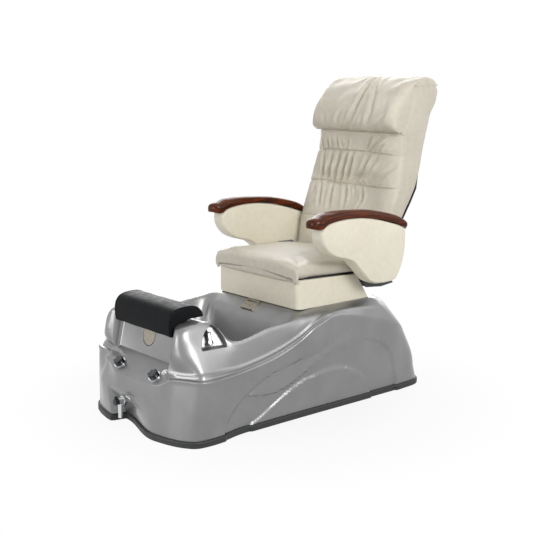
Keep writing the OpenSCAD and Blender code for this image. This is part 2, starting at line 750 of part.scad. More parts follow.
module footrest_tongue() {
    top_s = (tower_z + 1 + tongue_foot_t - deck_foot_z) / cos(panel_tilt);
    top_y = deck_foot_y + top_s * sin(panel_tilt);
    color(steel) placed() union() {
        on_panel(0, tongue_low) {
            translate([-tongue_w / 2, 0.5, tongue_w / 2])
                cube([tongue_w, tongue_t, top_s - tongue_low - tongue_w / 2 - 2]);
            translate([0, 0.5 + tongue_t, tongue_w / 2]) rotate([90, 0, 0]) cylinder(h = tongue_t, r = tongue_w / 2);
        }
        translate([-tongue_w / 2, top_y - 3, board_z - gap - tongue_foot_t]) cube([tongue_w, 60, tongue_foot_t]);
    }
}

// Section of the footrest board and pad, in Y and Z
board_t = 8;
board_hw = 168;
board_rear_y = -470;
lip_y = -597;
lip_z = 400;
board_top = board_z + board_t;
BOARD = [[board_rear_y, board_z], [-566, board_z], [-582, board_z - 12], [lip_y, lip_z],
    [lip_y - board_t, lip_z], [-590, board_top - 12], [-572, board_top], [board_rear_y, board_top]];

module footrest_board() {
    color(black) placed() side_plate(BOARD, -board_hw, board_hw);
}

PAD_OUTER = [[-611, 394], [-617, 412], [-619, 440], [-616, 464], [-607, 482], [-592, 494], [-570, 500],
    [-540, 502], [-510, 500], [-486, 491], [-470, 475], [-464, 460]];
PAD_INNER = [[-468, board_z], [-469, board_top], [-500, board_top], [-530, board_top], [-560, board_top],
    [-572, board_top], [-581, board_top - 6], [-590, board_top - 12], [-595, board_top - 27.67],
    [-600, board_top - 43.33], [lip_y - board_t, lip_z], [lip_y - board_t - 1.5, lip_z - 5]];

// Ring of the pad at fraction k of its fullness
function pad_ring(x, k) =
    let (n = len(PAD_OUTER))
    reversed(concat(
        [for (i = [0 : n - 1]) let (q = PAD_INNER[n - 1 - i], p = q + (PAD_OUTER[i] - q) * k) [x, p[0], p[1]]],
        [for (p = PAD_INNER) [x, p[0], p[1]]]));

module footrest_pad() {
    fullness = [for (t = [-1, -0.975, -0.93, -0.86, -0.5, 0, 0.5, 0.86, 0.93, 0.975, 1])
        [t * pad_hw, sqrt(max(1 - pow(abs(t), 14), 0)) * 0.45 + 0.55]];
    color(black) placed() loft([for (f = fullness) pad_ring(f[0], f[1])]);
}

// ---------------------------------------------------------------- services

module control_box() {
    color([0.2, 0.2, 0.22]) placed() translate([-90, CROSS_Y[2] - 10, rail_z + tube]) union() {
        cube([180, CROSS_Y[3] - CROSS_Y[2] + 20, 80]);
        translate([70, -10, 30]) cube([40, 10, 20]);
    }
}

module power_inlet() {
    color(black) placed() on_rear_wall() difference() {
        union() {
            translate([-inlet_w / 2 + gap, -24, -inlet_h / 2 + gap])
                cube([inlet_w - 2 * gap, 26, inlet_h - 2 * gap]);
            translate([-inlet_w / 2 - 6, -1, -inlet_h / 2 - 6]) cube([inlet_w + 12, 4, inlet_h + 12]);
        }
        translate([-inlet_w / 2 + 8, -14, -inlet_h / 2 + 6]) cube([inlet_w - 16, 30, inlet_h - 12]);
    }
}

// ---------------------------------------------------------------- seat support

plinth_y = -43;
seat_plate_t = 6;
plate_hw = 200;

module seat_plate() {
    color(steel) placed() difference() {
        translate([-plate_hw, 10, plateau_z]) cube([2 * plate_hw, 340, seat_plate_t]);
        post_holes(plateau_z - 1, plateau_z + seat_plate_t + 1);
    }
}

module plate_bolts() {
    color(chrome) placed() for (hand = [-1, 1]) for (y = POST_Y) translate([hand * post_x, y, plateau_z + seat_plate_t]) {
        cylinder(h = 7, r = 9, $fn = 6);
        translate([0, 0, -30]) cylinder(h = 30, r = bolt_r);
    }
}

// Frame whose z = 0 is the plinth's top edge and whose y runs back along the seat
module on_seat() {
    translate([0, plinth_y, plinth_top]) rotate([-seat_fall, 0, 0]) children();
}

rail_w = 30;
rail_h = 26;
rail_wall = 3;
rail_low = -70;                   // under the plinth's top edge
rail_from = 18;
rail_to = 336;

module fixed_rails() {
    color(steel) placed() for (hand = [-1, 1]) translate([hand * rail_x, 0, 0]) union() {
        on_seat() translate([-rail_w / 2, rail_from, rail_low]) difference() {
            cube([rail_w, rail_to - rail_from, rail_h]);
            translate([rail_wall, -1, rail_wall]) cube([rail_w - 2 * rail_wall, rail_to - rail_from + 2, rail_h]);
        }
        for (y = [90, 270]) translate([-rail_w / 2 + 2, y, plateau_z + seat_plate_t])
            cube([rail_w - 4, 30,
                plinth_top + rail_low + rail_wall / 2 - plateau_z - seat_plate_t - (y + 30 - plinth_y) * tan(seat_fall)]);
    }
}

plinth_round = 24;
plinth_foot_y = 355;
plinth_head_y = 270;

module plinth_plan(inset) {
    w = plinth_hw - inset;
    front_y = plinth_y + inset;
    r = plinth_round - inset;
    union() {
        translate([-w, front_y + r]) square([2 * w, far]);
        translate([-w + r, front_y]) square([2 * (w - r), r + 1]);
        for (hand = [-1, 1]) translate([hand * (w - r), front_y + r]) circle(r);
    }
}

module plinth_cover() {
    color(cream) placed() intersection() {
        translate([0, 0, plateau_z]) linear_extrude(far) difference() {
            plinth_plan(0);
            plinth_plan(plinth_t);
        }
        on_seat() translate([-far / 2, -far / 2, -far]) cube([far, far, far]);
        side_plate([[-far, 0], [plinth_foot_y, 0], [plinth_foot_y, plateau_z], [plinth_head_y, plinth_top],
            [plinth_head_y, far], [-far, far]], -far, far);
    }
}

// ---------------------------------------------------------------- sliding seat frame

runner_from = rail_from + slide_travel + 4;
pan_lift = 1;
pan_t = 8;
plate_in = 214;
plate_out = 222;
end_plate_in = 270;
end_plate_out = 276;
arm_inner = arm_x - arm_w / 2;
arm_pin = [385, 525];             // y and z of the arm pivots
actuator_pin = [150, 462];
actuator_pin_r = 6;
beam_h = 39;
lug_w = 13;

// Height of the carriage's top at y
function seat_line(y) = plinth_top + pan_lift - (y - plinth_y) * tan(seat_fall);

module slide_carriage() {
    runner_w = rail_w - 2 * rail_wall - 2 * gap;
    color(black) placed() difference() {
        union() {
            on_seat() {
                for (hand = [-1, 1]) translate([hand * rail_x - runner_w / 2, runner_from, rail_low + rail_wall + gap])
                    cube([runner_w, rail_to - 4 - runner_from, pan_lift - rail_low - rail_wall - gap - 1]);
                for (y = [rail_from + slide_travel + 12, 292]) translate([-plate_out, y, pan_lift - beam_h])
                    cube([2 * plate_out, 40, beam_h]);
            }
            for (hand = [-1, 1]) {
                x0 = hand > 0 ? plate_in : -plate_out;
                side_plate([[90, 505], [90, seat_line(90)], [333, seat_line(333)], [334, seat_line(334) + 3],
                    [392, seat_line(392) + 3], [424, 545], [428, 574], [445, 580], [462, 574],
                    [474, 540], [505, 500], [505, 472], [370, 462], [300, 480]], x0, x0 + plate_out - plate_in);
                s0 = hand > 0 ? end_plate_in : -end_plate_out;
                side_plate([[316, 492], [328, 472], [418, 464], [492, 472], [470, 496], [425, 520], [400, 537],
                    [345, 539], [330, 520]], s0, s0 + end_plate_out - end_plate_in);
                on_seat() translate([hand > 0 ? plate_in : -end_plate_out, 378, pan_lift])
                    cube([end_plate_out - plate_in, 56, pan_t - 1]);
                translate([hand > 0 ? lug_w : -lug_w - 8, actuator_pin[0] - 44, actuator_pin[1] - 12])
                    cube([8, 56, 66]);
            }
            translate([-lug_w - 8, actuator_pin[0], actuator_pin[1]]) rotate([0, 90, 0])
                cylinder(h = 2 * lug_w + 16, r = actuator_pin_r);
        }
        for (hand = [-1, 1]) {
            translate([hand * (plate_in + plate_out) / 2 - 10, hinge_y, hinge_z]) rotate([0, 90, 0])
                cylinder(h = 20, r = hinge_r + run);
            translate([hand * (end_plate_in + end_plate_out) / 2 - 10, arm_pin[0], arm_pin[1]]) rotate([0, 90, 0])
                cylinder(h = 20, r = arm_pin_r + run);
        }
    }
}

module seat_pan() {
    color(black) placed() on_seat() translate([-246, 4, pan_lift]) cube([492, 370, pan_t]);
}

// Half width factor of a cushion section at angle a, squarer with a higher power
function box_point(a, power) =
    let (c = cos(a), s = sin(a))
    [sign(c) * pow(abs(c), 2 / power), sign(s) * pow(abs(s), 2 / power)];

cushion_from = -14;
cushion_lift = pan_lift + pan_t;

module seat_cushion() {
    steps = 14;
    points = 32;
    color(cream) placed() on_seat() loft([for (i = [0 : steps])
        let (t = -cos(180 * i / steps), fill = pow(1.0001 - pow(abs(t), t > 0 ? 60 : 8), 0.2))
        [for (j = [points - 1 : -1 : 0])
            let (b = box_point(360 * (j + 0.5) / points, 7), up = 0.5 + b[1] / 2)
            let (crown = 1 + 0.10 * (1 - b[0] * b[0]) * (1 - t * t))
            let (w = seat_hw - 10 + 10 * sin(180 * up) - 14 * (1 - fill))
            [w * b[0], cushion_from + seat_d * (t + 1) / 2,
                cushion_lift + seat_h * (0.5 - 0.5 * fill) * 0.9 + seat_h * fill * up * crown / 1.1]]]);
}

// ---------------------------------------------------------------- arms

// Outline of an arm in Y and Z: the top from nose to rear, then round the leg
ARM_TOP = [[6, 761], [19, 769], [35, 776], [62, 782], [95, 786], [140, 789], [185, 788.5], [230, 785],
    [280, 778], [340, 765], [400, 749], [440, 736], [472, 723]];
ARM_LEG = [[480, 712], [481, 690], [481, 655], [477, 622], [464, 576], [444, 530], [428, 508], [405, 499],
    [356, 498], [302, 501], [266, 518], [238, 545], [212, 572], [190, 594], [168, 611], [144, 620], [110, 628],
    [76, 638], [42, 655], [16, 680], [3, 706], [0, 738]];

// Outline moved inwards by d
function inset_ring(points, d) =
    let (n = len(points))
    [for (i = [0 : n - 1]) let (tangent = unit(points[(i + 1) % n] - points[(i + n - 1) % n]))
        points[i] + d * [tangent[1], -tangent[0]]];

module arm_panel(hand) {
    outline = concat(ARM_TOP, ARM_LEG);
    steps = [[0, 12], [3, 5], [12, 0.5], [24, 0], [arm_w - 24, 0], [arm_w - 12, 0.5], [arm_w - 3, 5], [arm_w, 12]];
    color(cream) placed() loft([for (s = hand < 0 ? steps : reversed(steps))
        [for (p = inset_ring(outline, s[1])) [hand * (arm_inner + s[0]), p[0], p[1]]]]);
}

module arm_panel_left() { arm_panel(1); }
module arm_panel_right() { arm_panel(-1); }

// Wooden cap on the top of an arm, crowned across, with a round nose and a tapered rear end
module arm_cap(hand) {
    path = concat([[-42, 772], [-39, 765], [-33, 760.5], [-22, 757.5], [-8, 757]], ARM_TOP, [[482, 718], [490, 713]]);
    size = [0.3, 0.73, 1.05, 1.3, 1.39, 1.38, 1.28, 1.2, 1.1, 1.03, 0.92, 0.86, 0.88, 0.95, 1.02, 1.08, 1.08, 0.95,
        0.75, 0.4];
    wide = [0.3, 0.5, 0.72, 0.9, 1, 1, 1, 1, 1, 1, 1, 1, 1, 1, 1, 1, 1, 1, 0.88, 0.6];
    section = [[-0.94, 0], [-1, 0.35], [-0.94, 0.66], [-0.75, 0.86], [-0.4, 0.97], [0, 1],
        [0.4, 0.97], [0.75, 0.86], [0.94, 0.66], [1, 0.35], [0.94, 0]];
    color(wood) placed() loft([for (i = [0 : len(path) - 1])
        let (p = path[i], q = path[min(i + 1, len(path) - 1)], o = path[max(i - 1, 0)])
        let (along_y = p[0] < 50 ? [1, 0] : unit(q - o))
        [for (c = section) let (h = 0.5 + c[1] * (cap_t + 8) * size[i])
            [hand * arm_x + c[0] * cap_w / 2 * wide[i], p[0] - along_y[1] * h, p[1] + along_y[0] * h]]]);
}

module arm_cap_left() { arm_cap(1); }
module arm_cap_right() { arm_cap(-1); }

bracket_t = 6.5;

module arm_bracket(hand) {
    x0 = hand > 0 ? arm_inner - bracket_t : -arm_inner;
    pin_x = hand > 0 ? end_plate_in : -arm_inner;
    color(steel) placed() union() {
        side_plate([[310, 512], [300, 560], [320, 600], [400, 600], [430, 575], [422, 530], [400, 512]],
            x0, x0 + bracket_t);
        translate([pin_x, arm_pin[0], arm_pin[1]]) rotate([0, 90, 0])
            cylinder(h = arm_inner - end_plate_in, r = arm_pin_r);
    }
}

module arm_brackets_left() { arm_bracket(1); }
module arm_brackets_right() { arm_bracket(-1); }

// ---------------------------------------------------------------- back

// Height, front edge, front centre, rear of the pad, rear face and half width of the back
BACK = [
    [586, 403, 404, 432, 463, back_hw - 12], [650, 411, 422, 450, 488, back_hw - 4],
    [700, 420, 438, 466, 518, back_hw], [760, 434, 466, 490, 552, back_hw + 4],
    [810, 448, 490, 514, 582, back_hw + 7], [870, 468, 520, 548, 616, back_hw + 8],
    [940, 486, 512, 562, 648, back_hw + 2], [1013, 520, 526, 574, 676, back_hw - 9],
    [1060, 518, 520, 578, 692, back_hw - 12], [1104, 522, 524, 582, 706, back_hw - 13],
    [1122, 566, 566, 592, 712, back_hw - 13], [1180, 597, 597, 622, 726, back_hw - 13],
    [1250, 606, 606, 636, 748, back_hw - 13], [1304, 618, 618, 650, 764, back_hw - 16]
];
pleats = 7;
pleat_deep = 9;

// Depth of the sewn channels at height z and sideways place x
function pleat(x, z) =
    let (zone = smooth((z - 800) / 90) * smooth((1100 - z) / 40))
    let (inside = smooth((170 - abs(x)) / 60))
    -pleat_deep * zone * inside * (0.5 - 0.5 * cos(360 * x / (340 / pleats)));

module back_cushion() {
    across = 22;
    heights = [for (i = [0 : len(BACK) - 2]) each (i < 10 ? [i, i + 0.5] : [i])];
    rows = concat(heights, [len(BACK) - 1]);
    color(cream) placed() loft([for (v = rows)
        let (i = min(floor(v), len(BACK) - 2), row = BACK[i] + (BACK[i + 1] - BACK[i]) * (v - i))
        let (z = row[0], w = row[5] - 1)
        concat(
            [for (j = [0 : across]) let (t = 2 * j / across - 1, round_off = 1 - sqrt(max(1 - pow(abs(t), 6), 0)))
                [w * t, row[1] + (row[2] - row[1]) * (1 - t * t) + min(26, row[3] - row[1] - 4) * round_off * 0.8
                    - pleat(w * t, z), z]],
            [[w, row[3], z], [-w, row[3], z]])]);
}

module back_band(side_in, side_out, fore, aft, low, high) {
    rows = [for (r = BACK) if (r[0] >= low && r[0] <= high) r];
    loft([for (r = rows) let (z = r[0])
        [[side_in(r), fore(r), z], [side_out(r), fore(r), z], [side_out(r), aft(r), z], [side_in(r), aft(r), z]]]);
}

panel_thick = 22;

module back_side_panels() {
    color(cream) placed() for (hand = [-1, 1]) mirror([hand > 0 ? 0 : 1, 0, 0])
        back_band(function (r) r[5] - panel_thick, function (r) r[5], function (r) r[3],
            function (r) r[4], 580, 1310);
}

module back_rear_shell() {
    edge = function (r) r[5] - (r[0] < 900 ? 0 : 14);
    color(black) placed() back_band(function (r) -edge(r), edge, function (r) r[4], function (r) r[4] + rear_shell_t, 580, 1310);
}

PILLOW_OUTER = [[524, 1109], [500, 1118], [485, 1140], [482, 1165], [487, 1192], [500, 1218], [524, 1250],
    [554, 1284], [592, 1315], [641, 1337], [690, 1347], [728, 1347], [758, 1336], [771, 1316]];
PILLOW_INNER = [[766, 1304.3], [740, 1304.3], [700, 1304.3], [650, 1304.3], [634, 1304.3], [617.7, 1304.3],
    [611.7, 1277], [605.7, 1250], [601.2, 1215], [596.7, 1180], [581.2, 1151], [565.5, 1122], [540.5, 1112],
    [527.5, 1106.5]];

function pillow_ring(x, k) =
    let (n = len(PILLOW_OUTER))
    reversed(concat(
        [for (i = [0 : n - 1]) let (q = PILLOW_INNER[n - 1 - i], p = q + (PILLOW_OUTER[i] - q) * k) [x, p[0], p[1]]],
        [for (p = PILLOW_INNER) [x, p[0], p[1]]]));

pillow_hw = 257;

module headrest_pillow() {
    fullness = [for (t = [-1, -0.98, -0.93, -0.85, -0.7, -0.35, 0, 0.35, 0.7, 0.85, 0.93, 0.98, 1])
        [t * pillow_hw, sqrt(max(1 - pow(abs(t), 7), 0)) * 0.8 + 0.2]];
    color(cream) placed() loft([for (f = fullness) pillow_ring(f[0], f[1])]);
}

// Tubes of the back, with lugs on the hinge and one for the recline actuator
frame_x = 204;
frame_r = 9;
recline_lug = [hinge_y + 10, hinge_z - 90];
FRAME_PATH = [[hinge_y, hinge_z], [464, 650], [590, 845], [722, 1285]];
lean = 16.2;
massage_y = 588;
massage_z = 870;
massage_span = 300;
fork_hw = 15;
fork_pin_r = 5;

// Frame on the massage track, z up the back and y towards the rear
module on_track(s) {
    translate([0, massage_y, massage_z]) rotate([-lean, 0, 0]) translate([0, 0, s]) children();
}

track_rail_x = 70;
track_rail_r = 5;
track_rail_depth = 8;
cross_r = 8;
top_reach = side_reach(1268) - 0.6;

// Distance from the middle to the inner face of a side panel at height z
function side_reach(z) =
    let (i = max([for (k = [0 : len(BACK) - 2]) if (BACK[k][0] <= z) k]))
    let (t = (z - BACK[i][0]) / (BACK[i + 1][0] - BACK[i][0]))
    BACK[i][5] * (1 - t) + BACK[i + 1][5] * t - panel_thick;
function track_reach(s) = side_reach(massage_z + s * cos(lean)) - 0.6;

module back_frame() {
    color(steel) placed() difference() {
        union() {
            for (hand = [-1, 1]) {
                bent_rod([for (p = FRAME_PATH) [hand * frame_x, p[0], p[1]]], frame_r);
                translate([hand * frame_x - 9.5, hinge_y, hinge_z]) rotate([0, 90, 0]) cylinder(h = 19, r = 20);
                translate([hand > 0 ? frame_x : -plate_out - 2, hinge_y, hinge_z]) rotate([0, 90, 0])
                    cylinder(h = plate_out + 2 - frame_x, r = hinge_r);
            }
            rod([-frame_x, hinge_y + 3, hinge_z + 15], [frame_x, hinge_y + 3, hinge_z + 15], cross_r);
            for (s = [-20 - cross_r, massage_span + cross_r]) on_track(s) translate([0, track_rail_depth, 0])
                rod([-track_reach(s) + gap, 0, 0], [track_reach(s) - gap, 0, 0], cross_r);
            rod([-top_reach, 716, 1268], [top_reach, 716, 1268], cross_r);
            side_plate([[recline_lug[0] - 12, recline_lug[1] - 12], [recline_lug[0] + 12, recline_lug[1] - 12],
                [recline_lug[0] + 10, hinge_z + 15], [recline_lug[0] - 16, hinge_z + 15]], -6, 6);
            translate([-fork_hw, recline_lug[0], recline_lug[1]]) rotate([0, 90, 0])
                cylinder(h = 2 * fork_hw, r = fork_pin_r);
        }
        for (hand = [-1, 1]) on_track(-40) translate([hand * track_rail_x, track_rail_depth, 0])
            cylinder(h = massage_span + 80, r = track_rail_r + run);
    }
}

module massage_rails() {
    color(chrome) placed() for (hand = [-1, 1]) on_track(-36) translate([hand * track_rail_x, track_rail_depth, 0])
        cylinder(h = massage_span + 52, r = track_rail_r);
}

roller_r = 26;
roller_depth = -8;
massage_travel = 180;
carriage_h = 50;

module massage_carriage() {
    color([0.3, 0.3, 0.32]) placed() on_track(30) difference() {
        translate([-92, -18, -carriage_h / 2]) cube([184, 36, carriage_h]);
        for (hand = [-1, 1]) translate([hand * track_rail_x, track_rail_depth, -carriage_h])
            cylinder(h = 2 * carriage_h, r = track_rail_r + run);
        translate([-100, roller_depth, 0]) rotate([0, 90, 0]) cylinder(h = 200, r = track_rail_r - 1 + run);
    }
}

module massage_rollers() {
    color([0.85, 0.8, 0.7]) placed() on_track(30) translate([0, roller_depth, 0]) rotate([0, 90, 0]) union() {
        translate([0, 0, -120]) cylinder(h = 240, r = track_rail_r - 1);
        for (x = [-122, 96]) translate([0, 0, x]) cylinder(h = 26, r = roller_r);
    }
}

// ---------------------------------------------------------------- recline actuator

actuator_r = 18;
actuator_len = 170;
rod_r = 9;
rod_in = 60;
fork_gap = 6.5;
pin_slack = 6.5;                    // play of the open pivot at the back's lug
actuator_tilt = atan((recline_lug[1] - actuator_pin[1]) / (recline_lug[0] - actuator_pin[0]));
actuator_reach = norm([recline_lug[0] - actuator_pin[0], recline_lug[1] - actuator_pin[1]]);

// Frame at the actuator's fixed pin, y along the rod
module on_actuator() {
    translate([0, actuator_pin[0], actuator_pin[1]]) rotate([actuator_tilt, 0, 0]) children();
}

module recline_actuator() {
    color([0.25, 0.25, 0.27]) placed() on_actuator() difference() {
        union() {
            rotate([0, 90, 0]) translate([0, 0, -12.7]) cylinder(h = 25.4, r = 12);
            translate([0, 6, 0]) rotate([-90, 0, 0]) cylinder(h = 10, r = 10);
            translate([0, 15, 0]) rotate([-90, 0, 0]) cylinder(h = actuator_len - 15, r = actuator_r);
            translate([10, 40, 0]) rotate([0, 90, 0]) cylinder(h = 60, r = 17);
        }
        translate([0, actuator_len - rod_in, 0]) rotate([-90, 0, 0]) cylinder(h = rod_in + 1, r = rod_r + run);
        translate([-20, 0, 0]) rotate([0, 90, 0]) cylinder(h = 40, r = actuator_pin_r + run);
    }
}

module recline_rod() {
    color(chrome) placed() on_actuator() difference() {
        union() {
            translate([0, actuator_len - rod_in + 52, 0]) rotate([-90, 0, 0])
                cylinder(h = actuator_reach - actuator_len + rod_in - 52 - 26, r = rod_r);
            translate([-fork_hw, actuator_reach - 32, -18]) cube([2 * fork_hw, 48, 36]);
        }
        translate([-fork_gap, actuator_reach - 22, -19]) cube([2 * fork_gap, 50, 38]);
        translate([-fork_hw - 1, actuator_reach, 0]) rotate([0, 90, 0])
            cylinder(h = 2 * fork_hw + 2, r = fork_pin_r + pin_slack);
    }
}

tub_shell();
floor_skirt();
chassis_frame();
levelling_feet();
drain_strainer();
drain_pipe();
drain_valve_body();
drain_valve_stem();
drain_knob();
jet_housing();
jet_motor();
supply_pipe();
knob_escutcheons();
mixer_valves();
hot_knob();
cold_knob();
air_bezel();
air_button();
niche_plate();
sprayer_dock();
hand_sprayer();
waterfall_spout();
footrest_guide();
footrest_tongue();
footrest_board();
footrest_pad();
control_box();
power_inlet();
seat_plate();
plate_bolts();
fixed_rails();
plinth_cover();
slide_carriage();
seat_pan();
seat_cushion();
arm_brackets_left();
arm_brackets_right();
arm_panel_left();
arm_panel_right();
arm_cap_left();
arm_cap_right();
back_frame();
back_rear_shell();
back_side_panels();
back_cushion();
headrest_pillow();
massage_rails();
massage_carriage();
massage_rollers();
recline_actuator();
recline_rod();
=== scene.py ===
"""Looks of the pedicure spa chair: moulding, upholstery, woodwork, fittings, light and camera.

Sizes are millimetres in the seat frame (y from the seat datum, z up from the floor). place()
turns them to metres about the centre of the chair's outline.
"""
import logging
from dataclasses import dataclass, field
from enum import Enum
from typing import Any, Sequence

import bmesh
import bpy
import numpy as np
from mathutils import Matrix


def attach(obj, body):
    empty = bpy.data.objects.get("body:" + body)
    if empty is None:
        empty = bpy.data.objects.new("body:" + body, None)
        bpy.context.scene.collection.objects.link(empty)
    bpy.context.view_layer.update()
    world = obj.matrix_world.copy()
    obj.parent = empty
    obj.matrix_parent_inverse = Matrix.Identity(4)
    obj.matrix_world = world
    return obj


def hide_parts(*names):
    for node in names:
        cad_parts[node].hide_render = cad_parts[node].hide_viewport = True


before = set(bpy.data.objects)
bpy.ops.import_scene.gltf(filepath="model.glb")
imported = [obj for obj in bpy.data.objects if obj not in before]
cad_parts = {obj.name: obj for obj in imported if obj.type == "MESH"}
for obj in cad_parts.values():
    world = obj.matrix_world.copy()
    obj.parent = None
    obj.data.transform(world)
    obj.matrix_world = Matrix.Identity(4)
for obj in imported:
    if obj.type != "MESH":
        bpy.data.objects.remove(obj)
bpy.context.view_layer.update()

logging.basicConfig(level=logging.INFO, format="%(message)s")
LOG = logging.getLogger("spa_chair")

Array = np.ndarray
ORIGIN_Y = 20.9      # from the seat datum back to the centre of the chair's outline
MM = 0.001


# ---------------------------------------------------------------- numbers and curves

def place(points: Any) -> Array:
    """Seat-frame millimetres to metres: y less 20.9, all times 0.001.

    Args:
        points: an array whose last axis is x, y, z in millimetres.

    Returns:
        The same array in metres, in the frame of the CAD.
    """
    return (np.asarray(points, float) - (0.0, ORIGIN_Y, 0.0)) * MM


def smooth(t: Any) -> Array:
    """Ease from 0 to 1: 3 t^2 - 2 t^3 with t held between 0 and 1."""
    k = np.clip(t, 0.0, 1.0)
    return k * k * (3.0 - 2.0 * k)


def unit(v: Array) -> Array:
    """Vectors divided by their lengths."""
    return v / np.maximum(np.linalg.norm(v, axis=-1, keepdims=True), 1e-9)


def cubic(a: Array, b: Array, c: Array, d: Array, t: Array) -> Array:
    """Point between b and c of the cubic through four neighbours, whose slope at b is (c - a) / 2."""
    return 0.5 * (2 * b + (c - a) * t + (2 * a - 5 * b + 4 * c - d) * t ** 2
                  + (3 * b - a - 3 * c + d) * t ** 3)


def spline(points: Any, count: int, closed: bool = False) -> Array:
    """Smooth curve through points, evenly spaced by length.

    The cubic through each four neighbours is sampled twenty times a span, and the samples are
    then read off at equal steps of the running length.

    Args:
        points: (n, k) array of points.
        count: number of points wanted.
        closed: whether the curve returns to its first point.

    Returns:
        (count, k) array.
    """
    p = np.asarray(points, float)
    if closed:
        ext = np.concatenate([p[-1:], p, p[:2]])
    else:
        ext = np.concatenate([2 * p[:1] - p[1:2], p, 2 * p[-1:] - p[-2:-1]])
    spans = len(ext) - 3
    u = np.linspace(0, spans, spans * 20 + 1)
    i = np.minimum(u.astype(int), spans - 1)
    dense = cubic(ext[i], ext[i + 1], ext[i + 2], ext[i + 3], (u - i)[:, None])
    run = np.concatenate([[0.0], np.cumsum(np.linalg.norm(np.diff(dense, axis=0), axis=1))])
    at = np.linspace(0, run[-1], count + 1)[:-1] if closed else np.linspace(0, run[-1], count)
    return np.stack([np.interp(at, run, dense[:, k]) for k in range(dense.shape[1])], axis=-1)


def rounded_outline(points: Any, count: int, passes: int) -> Array:
    """Closed outline walked at equal steps, then averaged with its neighbours to round the corners.

    Args:
        points: (n, 2) corners.
        count: points on the result.
        passes: times that each point becomes a quarter, a half and a quarter of its neighbourhood.

    Returns:
        (count, 2) array.
    """
    p = np.asarray(points, float)
    ring = np.concatenate([p, p[:1]])
    run = np.concatenate([[0.0], np.cumsum(np.linalg.norm(np.diff(ring, axis=0), axis=1))])
    at = np.linspace(0, run[-1], count + 1)[:-1]
    out = np.stack([np.interp(at, run, ring[:, k]) for k in range(2)], axis=-1)
    for _ in range(passes):
        out = 0.5 * out + 0.25 * (np.roll(out, 1, axis=0) + np.roll(out, -1, axis=0))
    return out


def inset(outline: Array, distance: float) -> Array:
    """Closed outline moved to its left by distance along its own normals."""
    tangent = unit(np.roll(outline, -1, axis=0) - np.roll(outline, 1, axis=0))
    return outline + distance * np.stack([tangent[:, 1], -tangent[:, 0]], axis=-1)


def nearest(points: Array, line: Array, closed: bool = False) -> tuple[Array, Array]:
    """Distance from each point to a broken line, and how far along the line the nearest place is.

    Each point is dropped on every straight piece of the line, held to the piece's ends, and the
    piece with the smallest distance is kept.

    Args:
        points: (n, 2) array.
        line: (m, 2) corners.
        closed: whether the last corner joins the first.

    Returns:
        The distances, and the places from 0 at the line's start to 1 at its end.
    """
    a = line if closed else line[:-1]
    b = np.roll(line, -1, axis=0) if closed else line[1:]
    ab = b - a
    ap = points[:, None, :] - a[None]
    t = np.clip((ap * ab).sum(-1) / np.maximum((ab * ab).sum(-1), 1e-9), 0.0, 1.0)
    gap = np.linalg.norm(ap - t[..., None] * ab, axis=-1)
    piece = gap.argmin(axis=1)
    row = np.arange(len(points))
    return gap[row, piece], (piece + t[row, piece]) / len(a)


def distance_to(points: Array, line: Array, closed: bool = False) -> Array:
    """Shortest distance from each point to a broken line."""
    return nearest(points, line, closed)[0]


def inside_distance(points: Array, outline: Array) -> Array:
    """Distance to a closed outline, positive inside it.

    Inside is where a ray along the first axis crosses the outline an odd number of times.
    """
    a, b = outline, np.roll(outline, -1, axis=0)
    rise = np.where(np.abs(b[:, 1] - a[:, 1]) < 1e-9, 1e-9, b[:, 1] - a[:, 1])
    x, y = points[:, 0:1], points[:, 1:2]
    cross = ((a[:, 1] > y) != (b[:, 1] > y)) & (x < a[:, 0] + (b[:, 0] - a[:, 0]) * (y - a[:, 1]) / rise)
    sign = np.where(cross.sum(axis=1) % 2 == 1, 1.0, -1.0)
    return sign * distance_to(points, outline, closed=True)


def crumple(points: Array, wavelength: float, seed: int, waves: int = 7) -> Array:
    """Gentle random height at each point: the mean of a few plane sine waves.

    Args:
        points: (..., 3) array in millimetres.
        wavelength: length of the middle wave in millimetres.
        seed: seed of the wave directions and phases.
        waves: how many waves are added.

    Returns:
        (...) array of heights of about -1 to 1.
    """
    rng = np.random.default_rng(seed)
    direction = unit(rng.normal(size=(waves, 3)))
    length = wavelength * rng.uniform(0.6, 1.6, size=waves)
    phase = rng.uniform(0, 2 * np.pi, size=waves)
    return np.sin(points @ (direction / length[:, None]).T * 2 * np.pi + phase).sum(axis=-1) / waves ** 0.5


@dataclass(frozen=True)
class Fold:
    """Valley that a pull or a seam leaves in soft goods, between two low shoulders.

    Args:
        path: points of the valley's bottom on the surface's plan, in millimetres.
        deep: depth of the valley.
        wide: distance over which it falls to about a third.
        taper: 1 where the valley dies out at both ends, 0 where it keeps its depth.
    """
    path: Sequence[tuple[float, float]]
    deep: float
    wide: float = 8.0
    taper: float = 1.0

    def depth(self, plan: Array) -> Array:
        """Depth at each point of an (..., 2) plan, less the height of the shoulders.

        The valley is deep times e to the minus (gap / wide) to the 1.2, and each shoulder a low
        bell two and a half widths out. Both shrink towards the ends as the root of a half wave.
        """
        gap, share = nearest(plan.reshape(-1, 2), spline(self.path, 4 * len(self.path)))
        full = 1 - self.taper + self.taper * np.sqrt(np.sin(np.pi * np.clip(share, 0.02, 0.98)))
        shape = np.exp(-(gap / self.wide) ** 1.2) - 0.45 * np.exp(-((gap / self.wide - 2.5) / 1.3) ** 2)
        return (self.deep * full * shape).reshape(plan.shape[:-1])


# ---------------------------------------------------------------- meshes

